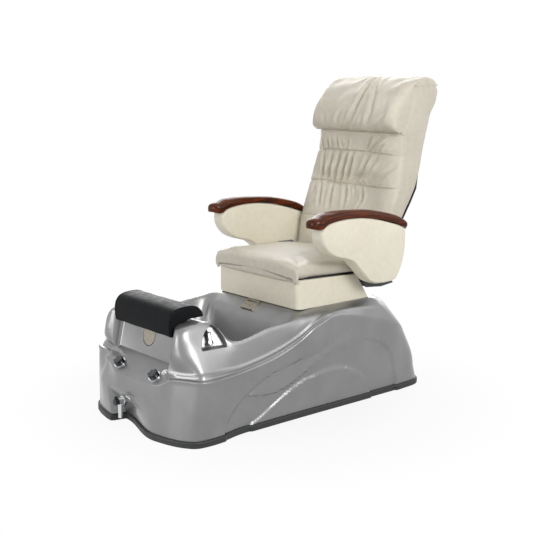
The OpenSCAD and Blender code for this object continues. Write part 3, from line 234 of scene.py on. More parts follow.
def quads(rows: int, columns: int, wrap_rows: bool = False, wrap_columns: bool = False) -> Array:
    """Faces of a grid whose point (i, j) has number i * columns + j.

    Args:
        rows: points along the first parameter.
        columns: points along the second.
        wrap_rows: whether the last row joins the first.
        wrap_columns: whether the last column joins the first.

    Returns:
        (n, 4) array of point numbers.
    """
    i, j = np.meshgrid(np.arange(rows if wrap_rows else rows - 1),
                       np.arange(columns if wrap_columns else columns - 1), indexing="ij")
    a, c = i * columns, ((i + 1) % rows) * columns
    k = (j + 1) % columns
    return np.stack([a + j, c + j, c + k, a + k], axis=-1).reshape(-1, 4)


def tube_of_rings(rings: Array) -> tuple[Array, list[list[int]]]:
    """Closed skin over a stack of closed rings, with a fan to the middle of each end ring.

    Args:
        rings: (m, n, 3) array of m rings of n points.

    Returns:
        The points and the faces.
    """
    m, n = rings.shape[:2]
    points = np.concatenate([rings.reshape(-1, 3), rings[0].mean(axis=0)[None], rings[-1].mean(axis=0)[None]])
    j = np.arange(n)
    k = (j + 1) % n
    first = np.stack([j, k, np.full(n, m * n)], axis=-1)
    last = np.stack([(m - 1) * n + k, (m - 1) * n + j, np.full(n, m * n + 1)], axis=-1)
    return points, quads(m, n, wrap_columns=True).tolist() + first.tolist() + last.tolist()


def crescent_tube(rings: Array) -> tuple[Array, list[list[int]]]:
    """Closed skin over rings that run out along one contour and back along another.

    Each end is closed by a strip between the two contours, so it lies flat however thin the ring is.

    Args:
        rings: (m, 2 n, 3) array.

    Returns:
        The points and the faces.
    """
    m, n = rings.shape[:2]
    j = np.arange(n // 2 - 1)
    first = np.stack([j, j + 1, n - 2 - j, n - 1 - j], axis=-1)
    last = (m - 1) * n + first[:, ::-1]
    return rings.reshape(-1, 3), quads(m, n, wrap_columns=True).tolist() + first.tolist() + last.tolist()


def make_object(name: str, points: Array, faces: Sequence[Sequence[int]], sharp: float = 40.0,
                outward: bool = True) -> bpy.types.Object:
    """Mesh object at the origin from points in millimetres.

    Args:
        name: the object's name.
        points: (n, 3) array in the seat frame.
        faces: point numbers of each face.
        sharp: angle in degrees over which an edge is shaded sharp.
        outward: whether the normals are worked out again to face outwards.

    Returns:
        The object, linked to the scene.
    """
    mesh = bpy.data.meshes.new(name)
    mesh.from_pydata(place(points).tolist(), [], faces)
    if outward:
        tidy = bmesh.new()
        tidy.from_mesh(mesh)
        bmesh.ops.remove_doubles(tidy, verts=tidy.verts, dist=1e-6)
        bmesh.ops.recalc_face_normals(tidy, faces=tidy.faces)
        tidy.to_mesh(mesh)
        tidy.free()
    mesh.polygons.foreach_set("use_smooth", np.ones(len(mesh.polygons), dtype=bool))
    mesh.set_sharp_from_angle(angle=np.radians(sharp))
    thing = bpy.data.objects.new(name, mesh)
    bpy.context.scene.collection.objects.link(thing)
    return thing


def swept_tube(name: str, path: Array, radius: float, closed: bool = False, sides: int = 8) -> bpy.types.Object:
    """Round cord along a path: a circle across the path at each of its points.

    The circle lies in the plane of two unit vectors square to the path's direction.

    Args:
        name: the object's name.
        path: (n, 3) points in millimetres.
        radius: of the cord in millimetres.
        closed: whether the path is a loop.
        sides: points round the circle.

    Returns:
        The object.
    """
    if closed:
        tangent = unit(np.roll(path, -1, axis=0) - np.roll(path, 1, axis=0))
    else:
        tangent = unit(np.gradient(path, axis=0))
    aid = np.where(np.abs(tangent[:, 0:1]) < 0.8, np.array([[1.0, 0.0, 0.0]]), np.array([[0.0, 0.0, 1.0]]))
    across = unit(np.cross(tangent, aid))
    up = np.cross(tangent, across)
    a = np.linspace(0, 2 * np.pi, sides, endpoint=False)
    rings = path[:, None] + radius * (np.cos(a)[None, :, None] * across[:, None]
                                      + np.sin(a)[None, :, None] * up[:, None])
    if closed:
        return make_object(name, rings.reshape(-1, 3), quads(len(path), sides, True, True).tolist())
    return make_object(name, *tube_of_rings(rings))


def stacked_solid(name: str, lower: Array, upper: Array) -> bpy.types.Object:
    """Prism between two outlines with equal counts, for cutting with."""
    n = len(lower)
    j = np.arange(n)
    k = (j + 1) % n
    sides = np.stack([j, k, n + k, n + j], axis=-1).tolist()
    return make_object(name, np.concatenate([lower, upper]), sides + [list(range(n)), list(range(n, 2 * n))])


def boolean(thing: bpy.types.Object, other: bpy.types.Object, operation: str = "DIFFERENCE") -> None:
    """Cut, join or cross a solid with another, and delete the other."""
    step = thing.modifiers.new("cut", "BOOLEAN")
    step.operation = operation
    step.solver = "MANIFOLD"
    step.object = other
    bake(thing)
    drop = other.data
    bpy.data.objects.remove(other)
    bpy.data.meshes.remove(drop)


def bake(thing: bpy.types.Object) -> None:
    """Replace an object's mesh by what its modifiers make of it."""
    graph = bpy.context.evaluated_depsgraph_get()
    result = bpy.data.meshes.new_from_object(thing.evaluated_get(graph), depsgraph=graph)
    old = thing.data
    thing.modifiers.clear()
    thing.data = result
    bpy.data.meshes.remove(old)


# ---------------------------------------------------------------- finishes

def colour(code: str) -> tuple[float, float, float, float]:
    """sRGB hex code to the linear colour that a shader takes."""
    value = [int(code[i:i + 2], 16) / 255 for i in (1, 3, 5)]
    linear = [v / 12.92 if v <= 0.04045 else ((v + 0.055) / 1.055) ** 2.4 for v in value]
    return (linear[0], linear[1], linear[2], 1.0)


def add(tree: bpy.types.NodeTree, kind: str, inputs: dict[Any, Any] | None = None, **settings: Any) -> bpy.types.Node:
    """Add a node with its settings, values and links.

    Args:
        tree: the material's node tree.
        kind: the node's type.
        inputs: a value or an output socket for each input, by name or number.
        settings: the node's own properties.

    Returns:
        The node.
    """
    node = tree.nodes.new(kind)
    for key, value in settings.items():
        setattr(node, key, value)
    for key, value in (inputs or {}).items():
        if isinstance(value, bpy.types.NodeSocket):
            tree.links.new(value, node.inputs[key])
        else:
            node.inputs[key].default_value = value
    return node


def tones(tree: bpy.types.NodeTree, factor: bpy.types.NodeSocket,
          stops: Sequence[tuple[float, str]]) -> bpy.types.NodeSocket:
    """Colour ramp over a factor, from pairs of place and hex code."""
    ramp = add(tree, "ShaderNodeValToRGB", {"Fac": factor})
    while len(ramp.color_ramp.elements) < len(stops):
        ramp.color_ramp.elements.new(0.5)
    for element, (at, code) in zip(ramp.color_ramp.elements, stops):
        element.position = at
        element.color = colour(code)
    return ramp.outputs["Color"]


@dataclass(frozen=True)
class Finish:
    """A surface finish, made once into a material and then shared.

    Args:
        name: the material's common name.
        slot: the record's material slot; not used.
        base: sRGB hex code of the main colour.
        shade: sRGB hex code that the main colour drifts to.
        roughness: of the surface.
        metallic: 1 for bare metal.
    """
    name: str
    slot: str
    base: str
    shade: str
    roughness: float
    metallic: float = 0.0

    def material(self) -> bpy.types.Material:
        """The finish's material, made at the first call."""
        known = bpy.data.materials.get(self.name)
        if known:
            return known
        made = bpy.data.materials.new(self.name)
        made.use_nodes = True
        tree = made.node_tree
        tree.nodes.clear()
        where = add(tree, "ShaderNodeTexCoord").outputs["Object"]
        shader = add(tree, "ShaderNodeBsdfPrincipled", {"Roughness": self.roughness, "Metallic": self.metallic})
        self.dress(tree, where, shader)
        add(tree, "ShaderNodeOutputMaterial", {"Surface": shader.outputs["BSDF"]})
        return made

    def mottle(self, tree: bpy.types.NodeTree, where: bpy.types.NodeSocket, size: float, detail: float = 3.0,
               stretch: tuple[float, float, float] = (1.0, 1.0, 1.0)) -> bpy.types.NodeSocket:
        """Noise with features of the given size in millimetres."""
        turned = add(tree, "ShaderNodeMapping", {"Vector": where, "Scale": stretch}).outputs["Vector"]
        noise = add(tree, "ShaderNodeTexNoise", {"Vector": turned, "Scale": 1000.0 / size, "Detail": detail})
        return noise.outputs["Fac"]

    def roughness_by(self, tree: bpy.types.NodeTree, shader: bpy.types.Node, factor: bpy.types.NodeSocket,
                     low: float, high: float) -> None:
        """Let the roughness run from low to high with a factor."""
        span = add(tree, "ShaderNodeMapRange", {"Value": factor, "From Min": 0.3, "From Max": 0.7,
                                                "To Min": low, "To Max": high})
        tree.links.new(span.outputs["Result"], shader.inputs["Roughness"])

    def bump(self, tree: bpy.types.NodeTree, shader: bpy.types.Node, heights: Sequence[tuple[Any, float]]) -> None:
        """Chain bumps of (height socket, depth in millimetres) into the shader's normal."""
        normal: Any = None
        for height, depth in heights:
            inputs = {"Height": height, "Strength": 1.0, "Distance": depth * MM}
            if normal is not None:
                inputs["Normal"] = normal
            normal = add(tree, "ShaderNodeBump", inputs).outputs["Normal"]
        tree.links.new(normal, shader.inputs["Normal"])

    def dress(self, tree: bpy.types.NodeTree, where: bpy.types.NodeSocket, shader: bpy.types.Node) -> None:
        """Plain version: the colour drifts slightly and the roughness with it."""
        drift = self.mottle(tree, where, 40.0)
        tree.links.new(tones(tree, drift, ((0.3, self.shade), (0.7, self.base))), shader.inputs["Base Color"])
        self.roughness_by(tree, shader, drift, self.roughness * 0.85, self.roughness * 1.15)
        self.bump(tree, shader, ((self.mottle(tree, where, 3.0), 0.05),))


@dataclass(frozen=True)
class MetallicGelcoat(Finish):
    """Silver gelcoat sprayed on a glass-fibre moulding: fine flakes under a clear, slightly wavy skin."""

    def dress(self, tree: bpy.types.NodeTree, where: bpy.types.NodeSocket, shader: bpy.types.Node) -> None:
        """Flakes of about 0.2 mm are drawn at 2 mm, and the skin's orange peel at 9 mm, so that they show."""
        flakes = self.mottle(tree, where, 2.0, detail=2.0)
        cloud = self.mottle(tree, where, 130.0)
        mix = add(tree, "ShaderNodeMix", {"Factor": 0.45, "A": flakes, "B": cloud}, data_type="FLOAT")
        tree.links.new(tones(tree, mix.outputs[0], ((0.36, self.shade), (0.62, self.base))),
                       shader.inputs["Base Color"])
        self.roughness_by(tree, shader, flakes, self.roughness - 0.05, self.roughness + 0.05)
        shader.inputs["Coat Weight"].default_value = 0.5
        shader.inputs["Coat Roughness"].default_value = 0.12
        edge = add(tree, "ShaderNodeBevel", {"Radius": 4.0 * MM}, samples=6).outputs["Normal"]
        peel = add(tree, "ShaderNodeBump", {"Height": self.mottle(tree, where, 9.0), "Distance": 0.04 * MM,
                                            "Strength": 1.0, "Normal": edge}).outputs["Normal"]
        tree.links.new(peel, shader.inputs["Normal"])


@dataclass(frozen=True)
class Leather(Finish):
    """Coated leathercloth with a pressed pebble grain, soft creases and a faint satin sheen."""
    pebble: float = 2.4
    depth: float = 0.12
    sheen: float = 0.08
    gloss: float = 0.4

    def dress(self, tree: bpy.types.NodeTree, where: bpy.types.NodeSocket, shader: bpy.types.Node) -> None:
        """Pebbles of about 1 mm are drawn at 2.4 mm; creases are 22 mm apart and follow a bent field."""
        cells = add(tree, "ShaderNodeTexVoronoi", {"Vector": where, "Scale": 1000.0 / self.pebble},
                    feature="DISTANCE_TO_EDGE").outputs["Distance"]
        crease = self.mottle(tree, where, 22.0, detail=4.0)
        cloud = self.mottle(tree, where, 160.0)
        mix = add(tree, "ShaderNodeMix", {"Factor": 0.5, "A": crease, "B": cloud}, data_type="FLOAT")
        tree.links.new(tones(tree, mix.outputs[0], ((0.34, self.shade), (0.62, self.base))),
                       shader.inputs["Base Color"])
        self.roughness_by(tree, shader, crease, self.roughness - 0.05, self.roughness + 0.07)
        shader.inputs["Sheen Weight"].default_value = self.sheen
        shader.inputs["Sheen Roughness"].default_value = 0.5
        shader.inputs["Specular IOR Level"].default_value = self.gloss
        self.bump(tree, shader, ((crease, 0.5), (cells, self.depth)))


@dataclass(frozen=True)
class LacqueredWood(Finish):
    """Stained beech under thick glossy lacquer: long dark pores in the run of the arm and a wet shine."""
    heart: str = "#481b02"

    def dress(self, tree: bpy.types.NodeTree, where: bpy.types.NodeSocket, shader: bpy.types.Node) -> None:
        """Growth bands 9 mm wide and pores 1.5 mm wide, drawn out fourteen and twenty times along y."""
        bands = self.mottle(tree, where, 9.0, detail=5.0, stretch=(1.0, 0.07, 1.0))
        pores = self.mottle(tree, where, 1.5, detail=2.0, stretch=(1.0, 0.05, 1.0))
        mix = add(tree, "ShaderNodeMix", {"Factor": 0.3, "A": bands, "B": pores}, data_type="FLOAT")
        tree.links.new(tones(tree, mix.outputs[0], ((0.36, self.shade), (0.5, self.heart), (0.64, self.base))),
                       shader.inputs["Base Color"])
        shader.inputs["Coat Weight"].default_value = 0.3
        shader.inputs["Coat Roughness"].default_value = 0.04
        shader.inputs["Specular IOR Level"].default_value = 0.05
        self.bump(tree, shader, ((pores, 0.03),))


@dataclass(frozen=True)
class BareMetal(Finish):
    """Plated, brushed or rolled metal: marks drawn out along one axis change the roughness and normal."""
    marks: float = 6.0
    stretch: tuple[float, float, float] = (1.0, 1.0, 1.0)
    depth: float = 0.01
    spread: float = 0.04

    def dress(self, tree: bpy.types.NodeTree, where: bpy.types.NodeSocket, shader: bpy.types.Node) -> None:
        """Marks of the given size in millimetres, drawn out by stretch."""
        marks = self.mottle(tree, where, self.marks, detail=3.0, stretch=self.stretch)
        tree.links.new(tones(tree, marks, ((0.3, self.shade), (0.7, self.base))), shader.inputs["Base Color"])
        self.roughness_by(tree, shader, marks, max(self.roughness - self.spread, 0.02), self.roughness + self.spread)
        self.bump(tree, shader, ((marks, self.depth),))


@dataclass(frozen=True)
class Moulded(Finish):
    """Moulded rubber or plastic with a fine spark-eroded texture and scattered scuffs."""
    grain: float = 1.6
    depth: float = 0.06

    def dress(self, tree: bpy.types.NodeTree, where: bpy.types.NodeSocket, shader: bpy.types.Node) -> None:
        """Grain of about 0.3 mm is drawn at 1.6 mm, scuffs at 35 mm."""
        grain = self.mottle(tree, where, self.grain, detail=2.0)
        scuffs = self.mottle(tree, where, 35.0, detail=5.0)
        tree.links.new(tones(tree, scuffs, ((0.32, self.shade), (0.68, self.base))), shader.inputs["Base Color"])
        self.roughness_by(tree, shader, scuffs, self.roughness - 0.08, self.roughness + 0.08)
        self.bump(tree, shader, ((grain, self.depth),))


SILVER = MetallicGelcoat("silver metallic gelcoat", "silver_moulding", "#8a8a8a", "#7c7c7c", 0.40, 0.85)
# SHADED_IVORY and CREAM are one leathercloth in one slot. SHADED_IVORY is a darker, greyer copy for the seat, back and
# headrest. Its darkness is partly painted shade, for parts that lie in more shade than the arms and plinth.
SHADED_IVORY = Leather("ivory leathercloth with painted shade", "ivory_leather", "#cac4b6", "#bfb8a9", 0.5)
CREAM = Leather("cream leathercloth", "ivory_leather", "#e2dccb", "#dad3bf", 0.42)
FOOT_VINYL = Leather("black expanded vinyl", "vinyl", "#131416", "#0d0e10", 0.52, 0.0, 1.8, 0.08, 0.0, 0.08)
LACQUER = LacqueredWood("lacquered beech", "wood", "#6b2d03", "#2a1001", 0.5)
CHROME = BareMetal("chrome-plated brass", "chrome", "#dcdee0", "#cfd1d3", 0.07, 1.0, 9.0, (1.0, 1.0, 1.0), 0.01, 0.03)
BRUSHED = BareMetal("brushed stainless steel", "galvanised_steel", "#a39c90", "#857f75", 0.36, 1.0, 2.0,
                    (1.0, 1.0, 0.04), 0.02, 0.07)
GALVANISED = BareMetal("galvanised steel", "galvanised_steel", "#a9adb0", "#878c90", 0.42, 1.0, 14.0,
                       (1.0, 1.0, 1.0), 0.03, 0.08)
BRASS = BareMetal("cast brass", "brass", "#c9a45a", "#ad8640", 0.38, 1.0, 5.0, (1.0, 1.0, 1.0), 0.05, 0.08)
FRAME_STEEL = Moulded("powder-coated steel", "frame_steel", "#34363a", "#2a2c2f", 0.45, 0.0, 2.2, 0.08)
SKIRT_RUBBER = Moulded("extruded rubber", "skirt_rubber", "#232425", "#1b1b1c", 0.55)
RUBBER = Moulded("moulded rubber", "black_rubber", "#1f1f20", "#171718", 0.7)
ABS = Moulded("black moulded plastic", "black_plastic", "#1c1c1e", "#131315", 0.38)
PIPE = Moulded("white drain plastic", "pipe_plastic", "#dcdcd8", "#cccbc5", 0.4)
# Chrome made dark grey for the hot and cold knobs: a painted dark reflection, standing in for the dark surroundings
# that their chrome reflects.
PAINTED_DARK_CHROME = BareMetal("chrome darkened with painted reflection", "chrome", "#5a5b5e", "#434447", 0.12, 1.0, 9.0, (1.0, 1.0, 1.0), 0.01, 0.03)
NYLON = Moulded("natural nylon", "roller_plastic", "#d8cfb9", "#c8bea6", 0.42)


class Body(Enum):
    """Bodies of the moving model that new pieces ride on."""
    BASE = "base"
    FOOTREST = "footrest"
    SEAT = "seat"
    ARM_LEFT = "arm_left"
    ARM_RIGHT = "arm_right"
    BACK = "back"


def finish_piece(thing: bpy.types.Object, finish: Finish, body: Body, replaced: Sequence[str] = ()) -> bpy.types.Object:
    """Give a new piece its material and body, and hide the CAD nodes that it replaces.

    Args:
        thing: the piece.
        finish: its surface.
        body: the body it rides on.
        replaced: CAD nodes that it replaces.

    Returns:
        The piece.
    """
    thing.data.materials.clear()
    thing.data.materials.append(finish.material())
    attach(thing, body.value)
    if replaced:
        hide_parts(*replaced)
    LOG.info("%s: %d faces, %s", thing.name, len(thing.data.polygons), finish.name)
    return thing


# ---------------------------------------------------------------- base moulding

@dataclass
class BaseMoulding:
    """One-piece foot bath and seat base, with its rubber skirt.

    The skin is a net of eleven closed rings, from the floor edge up over the belt and the rim and
    down into the basin. A half ring has eighteen stations from front to rear.
    """
    base_front: float = 690.0
    base_rear: float = 694.0
    half_width: float = 327.0
    plateau: float = 425.0
    tower: float = 445.0
    skirt_top: float = 25.0
    basin: float = 160.0
    wall: float = 6.0
    ramp_y: float = -45.0
    panel_hw: float = 188.0
    panel_tilt: float = 13.0
    deck_hw: float = 222.0
    deck_tilt: float = 34.2
    deck_foot: tuple[float, float] = (-600.0, 287.0)
    deck_step: float = -637.0
    deck_round: float = 30.0
    slot_width: float = 84.0
    slot_low: float = 34.0
    niche: tuple[float, float] = (-431.0, 350.0)
    niche_turn: float = 17.0
    niche_lean: float = 30.0
    stations: int = 300
    relief: float = 8.0
    rings: Array = field(init=False)

    def __post_init__(self) -> None:
        """Lay out the rings."""
        def f(x: float, back: float, z: float) -> tuple[float, float, float]:
            return (x, -self.base_front + back, z)

        def s(out: float, y: float, z: float) -> tuple[float, float, float]:
            return (self.half_width + out, y, z)

        def r(x: float, back: float, z: float) -> tuple[float, float, float]:
            return (x, self.base_rear - back, z)

        p, t, k = self.plateau, self.tower, self.skirt_top
        back = -478.0
        foot, top = self.ramp_y - 60.0, p - 40.0
        self.rings = np.array([
            [f(0, 8, k), f(140, 12, k), f(205, 22, k), f(247, 33, k), f(290, 50, k), s(5, -608, k), s(16, -558, k),
             s(13, -480, k), s(-5, -380, k), s(-8, -230, k), s(-9, -100, k), s(-9, 0, k), s(-8, 130, k),
             s(-7, 380, k), s(-10, 520, k), r(294, 62, k), r(186, 18, k), r(0, 8, k)],
            [f(0, 2, 75), f(140, 5, 75), f(205, 16, 75), f(248, 34, 75), f(292, 53, 75), s(10, -607, 75),
             s(21, -559, 75), s(16, -480, 75), s(0, -380, 75), s(-3, -230, 75), s(-4, -100, 75), s(-4, 0, 75),
             s(-4, 130, 75), s(-5, 378, 75), s(-9, 514, 75), r(293, 76, 75), r(185, 28, 75), r(0, 18, 75)],
            [f(0, -5, 145), f(140, -3, 145), f(205, 8, 145), f(248, 36, 145), f(295, 58, 145), s(16, -605, 145),
             s(27, -560, 145), s(19, -480, 145), s(6, -380, 145), s(3, -230, 145), s(2, -100, 145), s(2, 0, 150),
             s(1, 130, 150), s(-2, 377, 150), s(-7, 505, 150), r(291, 92, 150), r(183, 38, 150), r(0, 28, 150)],
            [f(0, -10, 247), f(140, -8, 247), f(207, 2, 247), f(250, 44, 249), f(300, 68, 251), s(21, -600, 252),
             s(34, -562, 250), s(21, -480, 247), s(11, -380, 252), s(10, -230, 276), s(10, -100, 322),
             s(9, 0, 372), s(5, 130, p - 33), s(-1, 375, p - 95), s(-8, 482, p - 125), r(274, 142, p - 152),
             r(170, 84, p - 145), r(0, 76, p - 135)],
            [f(0, 45, 264), f(140, 46, 264), f(212, 52, 264), f(250, 68, 265), f(292, 88, 266), s(4, -582, 267),
             s(12, -552, 267), s(3, -478, 265), s(0, -380, 268), s(-1, -230, 296), s(-1, -100, 338),
             s(0, 0, 386), s(-10, 130, p - 13), s(-19, 352, p - 30), s(-42, 430, p - 47), r(235, 204, p - 58),
             r(150, 164, p - 42), r(0, 149, p - 40)],
            [f(0, 72, 345), f(140, 72, 345), f(192, 70, 345), f(230, 57, 345), f(262, 67, 345), s(-42, -588, 348),
             s(-35, -540, 350), s(-27, -460, 346), s(-13, -380, 335), s(-9, -230, 350), s(-8, -105, 372),
             s(-15, -20, 408), s(-52, 130, p), s(-65, 335, p), s(-102, 370, p), r(170, 294, p), r(110, 274, p),
             r(0, 264, p)],
            [f(0, 92, t - 14), f(130, 92, t - 14), f(190, 90, t - 14), f(216, 85, t - 14), f(238, 93, t - 14),
             s(-78, -572, t - 13), s(-80, -510, t - 8), s(-66, -449, 414), s(-24, -398, 361), s(-20, -230, 389),
             s(-22, -112, 402), s(-40, -50, 417), s(-72, 60, p), (200, 120, p), (150, 130, p), (100, 140, p),
             (50, 145, p), (0, 150, p)],
            [(0, back, t), (105, back, t), (160, back, t), (190, back + 3, t), (208, back + 8, t - 1),
             (222, back + 16, t - 4), (232, back + 28, t - 10), (250, back + 52, 392), (290, -376, 361),
             (291, -230, 387), (286, -125, 398), (262, self.ramp_y - 18, 414), (215, self.ramp_y - 1, p),
             (170, self.ramp_y, p), (125, self.ramp_y, p), (85, self.ramp_y, p), (45, self.ramp_y, p),
             (0, self.ramp_y, p)],
            [(0, -455, 370), (98, -455, 370), (155, -455, 370), (184, -450, 368), (205, -443, 366),
             (222, -433, 362), (236, -420, 352), (252, -400, 336), (272, -362, 318), (272, -230, 324),
             (262, -140, 336), (236, -112, 370), (205, foot, top), (165, foot, top), (125, foot, top),
             (85, foot, top), (45, foot, top), (0, foot, top)],
            [(0, -430, 235), (86, -430, 235), (135, -430, 235), (160, -426, 235), (180, -418, 235),
             (195, -405, 235), (206, -390, 235), (215, -370, 235), (225, -345, 235), (228, -250, 238),
             (222, -190, 242), (205, -165, 246), (180, -152, 250), (150, -150, 250), (112, -150, 250),
             (76, -150, 250), (40, -150, 250), (0, -150, 250)],
            [(0, -400, 160), (73, -400, 160), (115, -400, 160), (136, -397, 160), (153, -390, 160),
             (166, -378, 160), (175, -365, 160), (182, -345, 160), (188, -325, 160), (190, -250, 160),
             (186, -215, 160), (172, -198, 160), (152, -190, 160), (125, -188, 160), (95, -188, 160),
             (64, -188, 160), (32, -188, 160), (0, -188, 160)]], float)

    def net(self, stations: int, rows: Sequence[int]) -> tuple[Array, Array]:
        """Sample the skin on a fine net.

        A point is the cubic through neighbouring stations of each ring, and then the cubic through
        neighbouring rings, straight past the rings marked as ridges.

        Args:
            stations: points on each half ring, evenly spaced along its length.
            rows: rows between each two rings.

        Returns:
            (rows, columns, 3) points, and the ring number of each row.
        """
        flip = np.array([-1.0, 1.0, 1.0])
        ext = np.concatenate([self.rings[:, 1:2] * flip, self.rings, self.rings[:, -2:-1] * flip], axis=1)

        def along(u: Array) -> Array:
            i = np.minimum(u.astype(int), 16)
            return cubic(ext[:, i], ext[:, i + 1], ext[:, i + 2], ext[:, i + 3], (u - i)[None, :, None])

        fine = np.linspace(0, 17, 1700)
        run = np.concatenate([[0.0], np.cumsum(np.linalg.norm(np.diff(along(fine)[2], axis=0), axis=1))])
        half = along(np.interp(np.linspace(0, run[-1], stations), run, fine))
        ridge = np.array([1, 0, 0, 1, 1, 0, 0, 1, 1, 0, 1], bool)
        level = np.concatenate([i + np.arange(n) / n for i, n in enumerate(rows)] + [[10.0]])
        i = np.minimum(level.astype(int), 9)
        b, c = half[i], half[i + 1]
        a = np.where((ridge[i] | (i == 0))[:, None, None], 2 * b - c, half[np.maximum(i - 1, 0)])
        d = np.where((ridge[i + 1] | (i == 9))[:, None, None], 2 * c - b, half[np.minimum(i + 2, 10)])
        skin = cubic(a, b, c, d, (level - i)[:, None, None])
        skin = np.concatenate([skin, skin[:, -2:0:-1] * flip], axis=1)
        low = skin[..., 1] > self.ramp_y - 1
        skin[..., 2] = np.where(low, np.minimum(skin[..., 2], self.plateau), skin[..., 2])
        return skin, level

    def scoop(self, p: Array) -> Array:
        """Depth of the hollow in the foot of the front wall, eased in from three sides."""
        deep = (62.0 * smooth((p[..., 0] + 137) / 16) * smooth((165 - p[..., 0]) / 275)
                * smooth((165 - p[..., 2]) / 140))
        return np.where(p[..., 1] < -345, deep + self.slope(p), 0.0)

    def slope(self, p: Array) -> Array:
        """Fall of the front wall's top away from the deck on the sitter's right."""
        return (30.0 * smooth((-530 - p[..., 1]) / 60) * smooth((-p[..., 0] - 50) / 130)
                * smooth((p[..., 0] + 327) / 90)
                * smooth((p[..., 2] - 150) / 80) * (1 - smooth((p[..., 2] - 262) / 60)))

    def side_relief(self, p: Array) -> Array:
        """Height of the waves pressed into the sides.

        Four curves in (y, z) bound a falling lens, a sunk arch and a raised inner arch. Each step
        eases over 7 mm across its curve, and the lens climbs from its upper curve to its lower one.
        """
        stem = [(-475, -40), (-475, 25), (-455, 76), (-436, 100), (-407, 129), (-368, 152)]
        upper = [(-368, 152), (-348, 164), (-289, 196), (-198, 226), (-93, 243), (15, 265), (97, 305),
                 (153, 338), (193, 378)]
        lower = [(-368, 152), (-299, 138), (-223, 134), (-145, 151), (-66, 185), (15, 224), (70, 243),
                 (155, 253), (242, 262), (301, 258), (362, 239), (412, 208), (445, 154), (466, 96), (481, 25),
                 (481, -40)]
        inner = [(-380, -40), (-344, 19), (-289, 47), (-223, 85), (-145, 126), (-66, 156), (16, 169), (99, 172),
                 (157, 168), (197, 151), (245, 125), (288, 86), (313, 46), (319, 31), (322, -40)]
        low = spline(lower, 90)
        high = spline(upper, 60)
        arch = np.concatenate([spline(stem, 30), low[1:]])
        lens = np.concatenate([high, [[330.0, 420.0], [520.0, 300.0]], low[::-1][6:-1]])
        flat = p.reshape(-1, 3)[:, 1:]
        near = (np.abs(p[..., 0]).reshape(-1) > 240) & (flat[:, 1] < 400)
        height = np.zeros(len(flat))
        q = flat[near]
        d_high, d_low = distance_to(q, high), distance_to(q, low)
        share = d_low / np.maximum(d_high + d_low, 1e-6)
        sunk = smooth(inside_distance(q, arch) / 7 + 0.5)
        raised = smooth(inside_distance(q, spline(inner, 90)) / 9 + 0.5)
        fall = smooth(inside_distance(q, lens) / 7 + 0.5) * share * (1 - smooth((q[:, 0] - 60) / 170))
        height[near] = self.relief * (raised - sunk - fall)
        return height.reshape(p.shape[:-1])

    def normals(self, skin: Array) -> Array:
        """Outward unit normals: across the ring times up the column."""
        east = np.roll(skin, -1, axis=1) - np.roll(skin, 1, axis=1)
        return unit(np.cross(east, np.gradient(skin, axis=0)))

    def outer(self) -> Array:
        """Finished outer skin: softened ridges, the belt's twin beads, the waves and the scoop.

        The belt stands up by 3.8 mm along both ridges and dips by 3 mm between them. It fades out in
        front of the deck and where it reaches the seat.
        """
        skin, level = self.net(self.stations, (8, 12, 18, 10, 14, 12, 10, 10, 12, 9))
        for ring, passes in ((3, 2), (4, 3), (7, 4), (8, 5)):
            near = np.exp(-((level - ring) / (0.35 if ring < 5 else 0.7)) ** 2)[1:-1, None, None]
            for _ in range(passes):
                mean = 0.25 * (skin[:-2] + 2 * skin[1:-1] + skin[2:])
                skin[1:-1] += near * (mean - skin[1:-1])
        run = np.concatenate([np.zeros((1, skin.shape[1])),
                              np.cumsum(np.linalg.norm(np.diff(skin, axis=0), axis=-1), axis=0)])
        low_at = run[np.argmin(np.abs(level - 3))]
        high_at = run[np.argmin(np.abs(level - 4))]
        fade = smooth((np.abs(skin[..., 0]) - 224) / 20) * (1 - smooth((skin[..., 1] - 25) / 70))
        bead = (3.8 * np.exp(-((run - low_at) / 5.5) ** 2) + 3.8 * np.exp(-((run - high_at) / 5.5) ** 2)
                - 3.0 * np.exp(-((run - (low_at + high_at) / 2) / 4.5) ** 2))
        height = fade * bead * (level[:, None] < 5)
        skin = skin + self.normals(skin) * height[..., None]
        skin[..., 0] += np.sign(skin[..., 0]) * self.side_relief(skin) * (level[:, None] < 4.6)
        skin[..., 1] += self.scoop(skin)
        return skin

    def solid(self, name: str, skin: Array) -> bpy.types.Object:
        """Close a skin with a fan under its foot and a fan over the basin's floor."""
        m, n = skin.shape[:2]
        centres = np.array([[0.0, -290.0, skin[-1, 0, 2]], [0.0, 0.0, skin[0, 0, 2]]])
        j = np.arange(n)
        k = (j + 1) % n
        floor = np.stack([(m - 1) * n + j, (m - 1) * n + k, np.full(n, m * n)], axis=-1)
        foot = np.stack([k, j, np.full(n, m * n + 1)], axis=-1)
        faces = quads(m, n, wrap_columns=True).tolist() + floor.tolist() + foot.tolist()
        return make_object(name, np.concatenate([skin.reshape(-1, 3), centres]), faces)

    def deck_height(self, y: Array, grow: float) -> Array:
        """Height of the control deck at y, sunk by grow square to the deck."""
        tilt = np.radians(self.deck_tilt)
        return self.deck_foot[1] + (y - self.deck_foot[0]) * np.tan(tilt) - grow / np.cos(tilt)

    def on_panel(self, x: Array, depth: Array, rise: Array) -> Array:
        """Points from a frame on the tower's panel: sideways, into the tower and up the panel."""
        a = np.radians(self.panel_tilt)
        return np.stack([x, self.deck_foot[0] + depth * np.cos(a) + rise * np.sin(a),
                         self.deck_foot[1] - depth * np.sin(a) + rise * np.cos(a)], axis=-1)

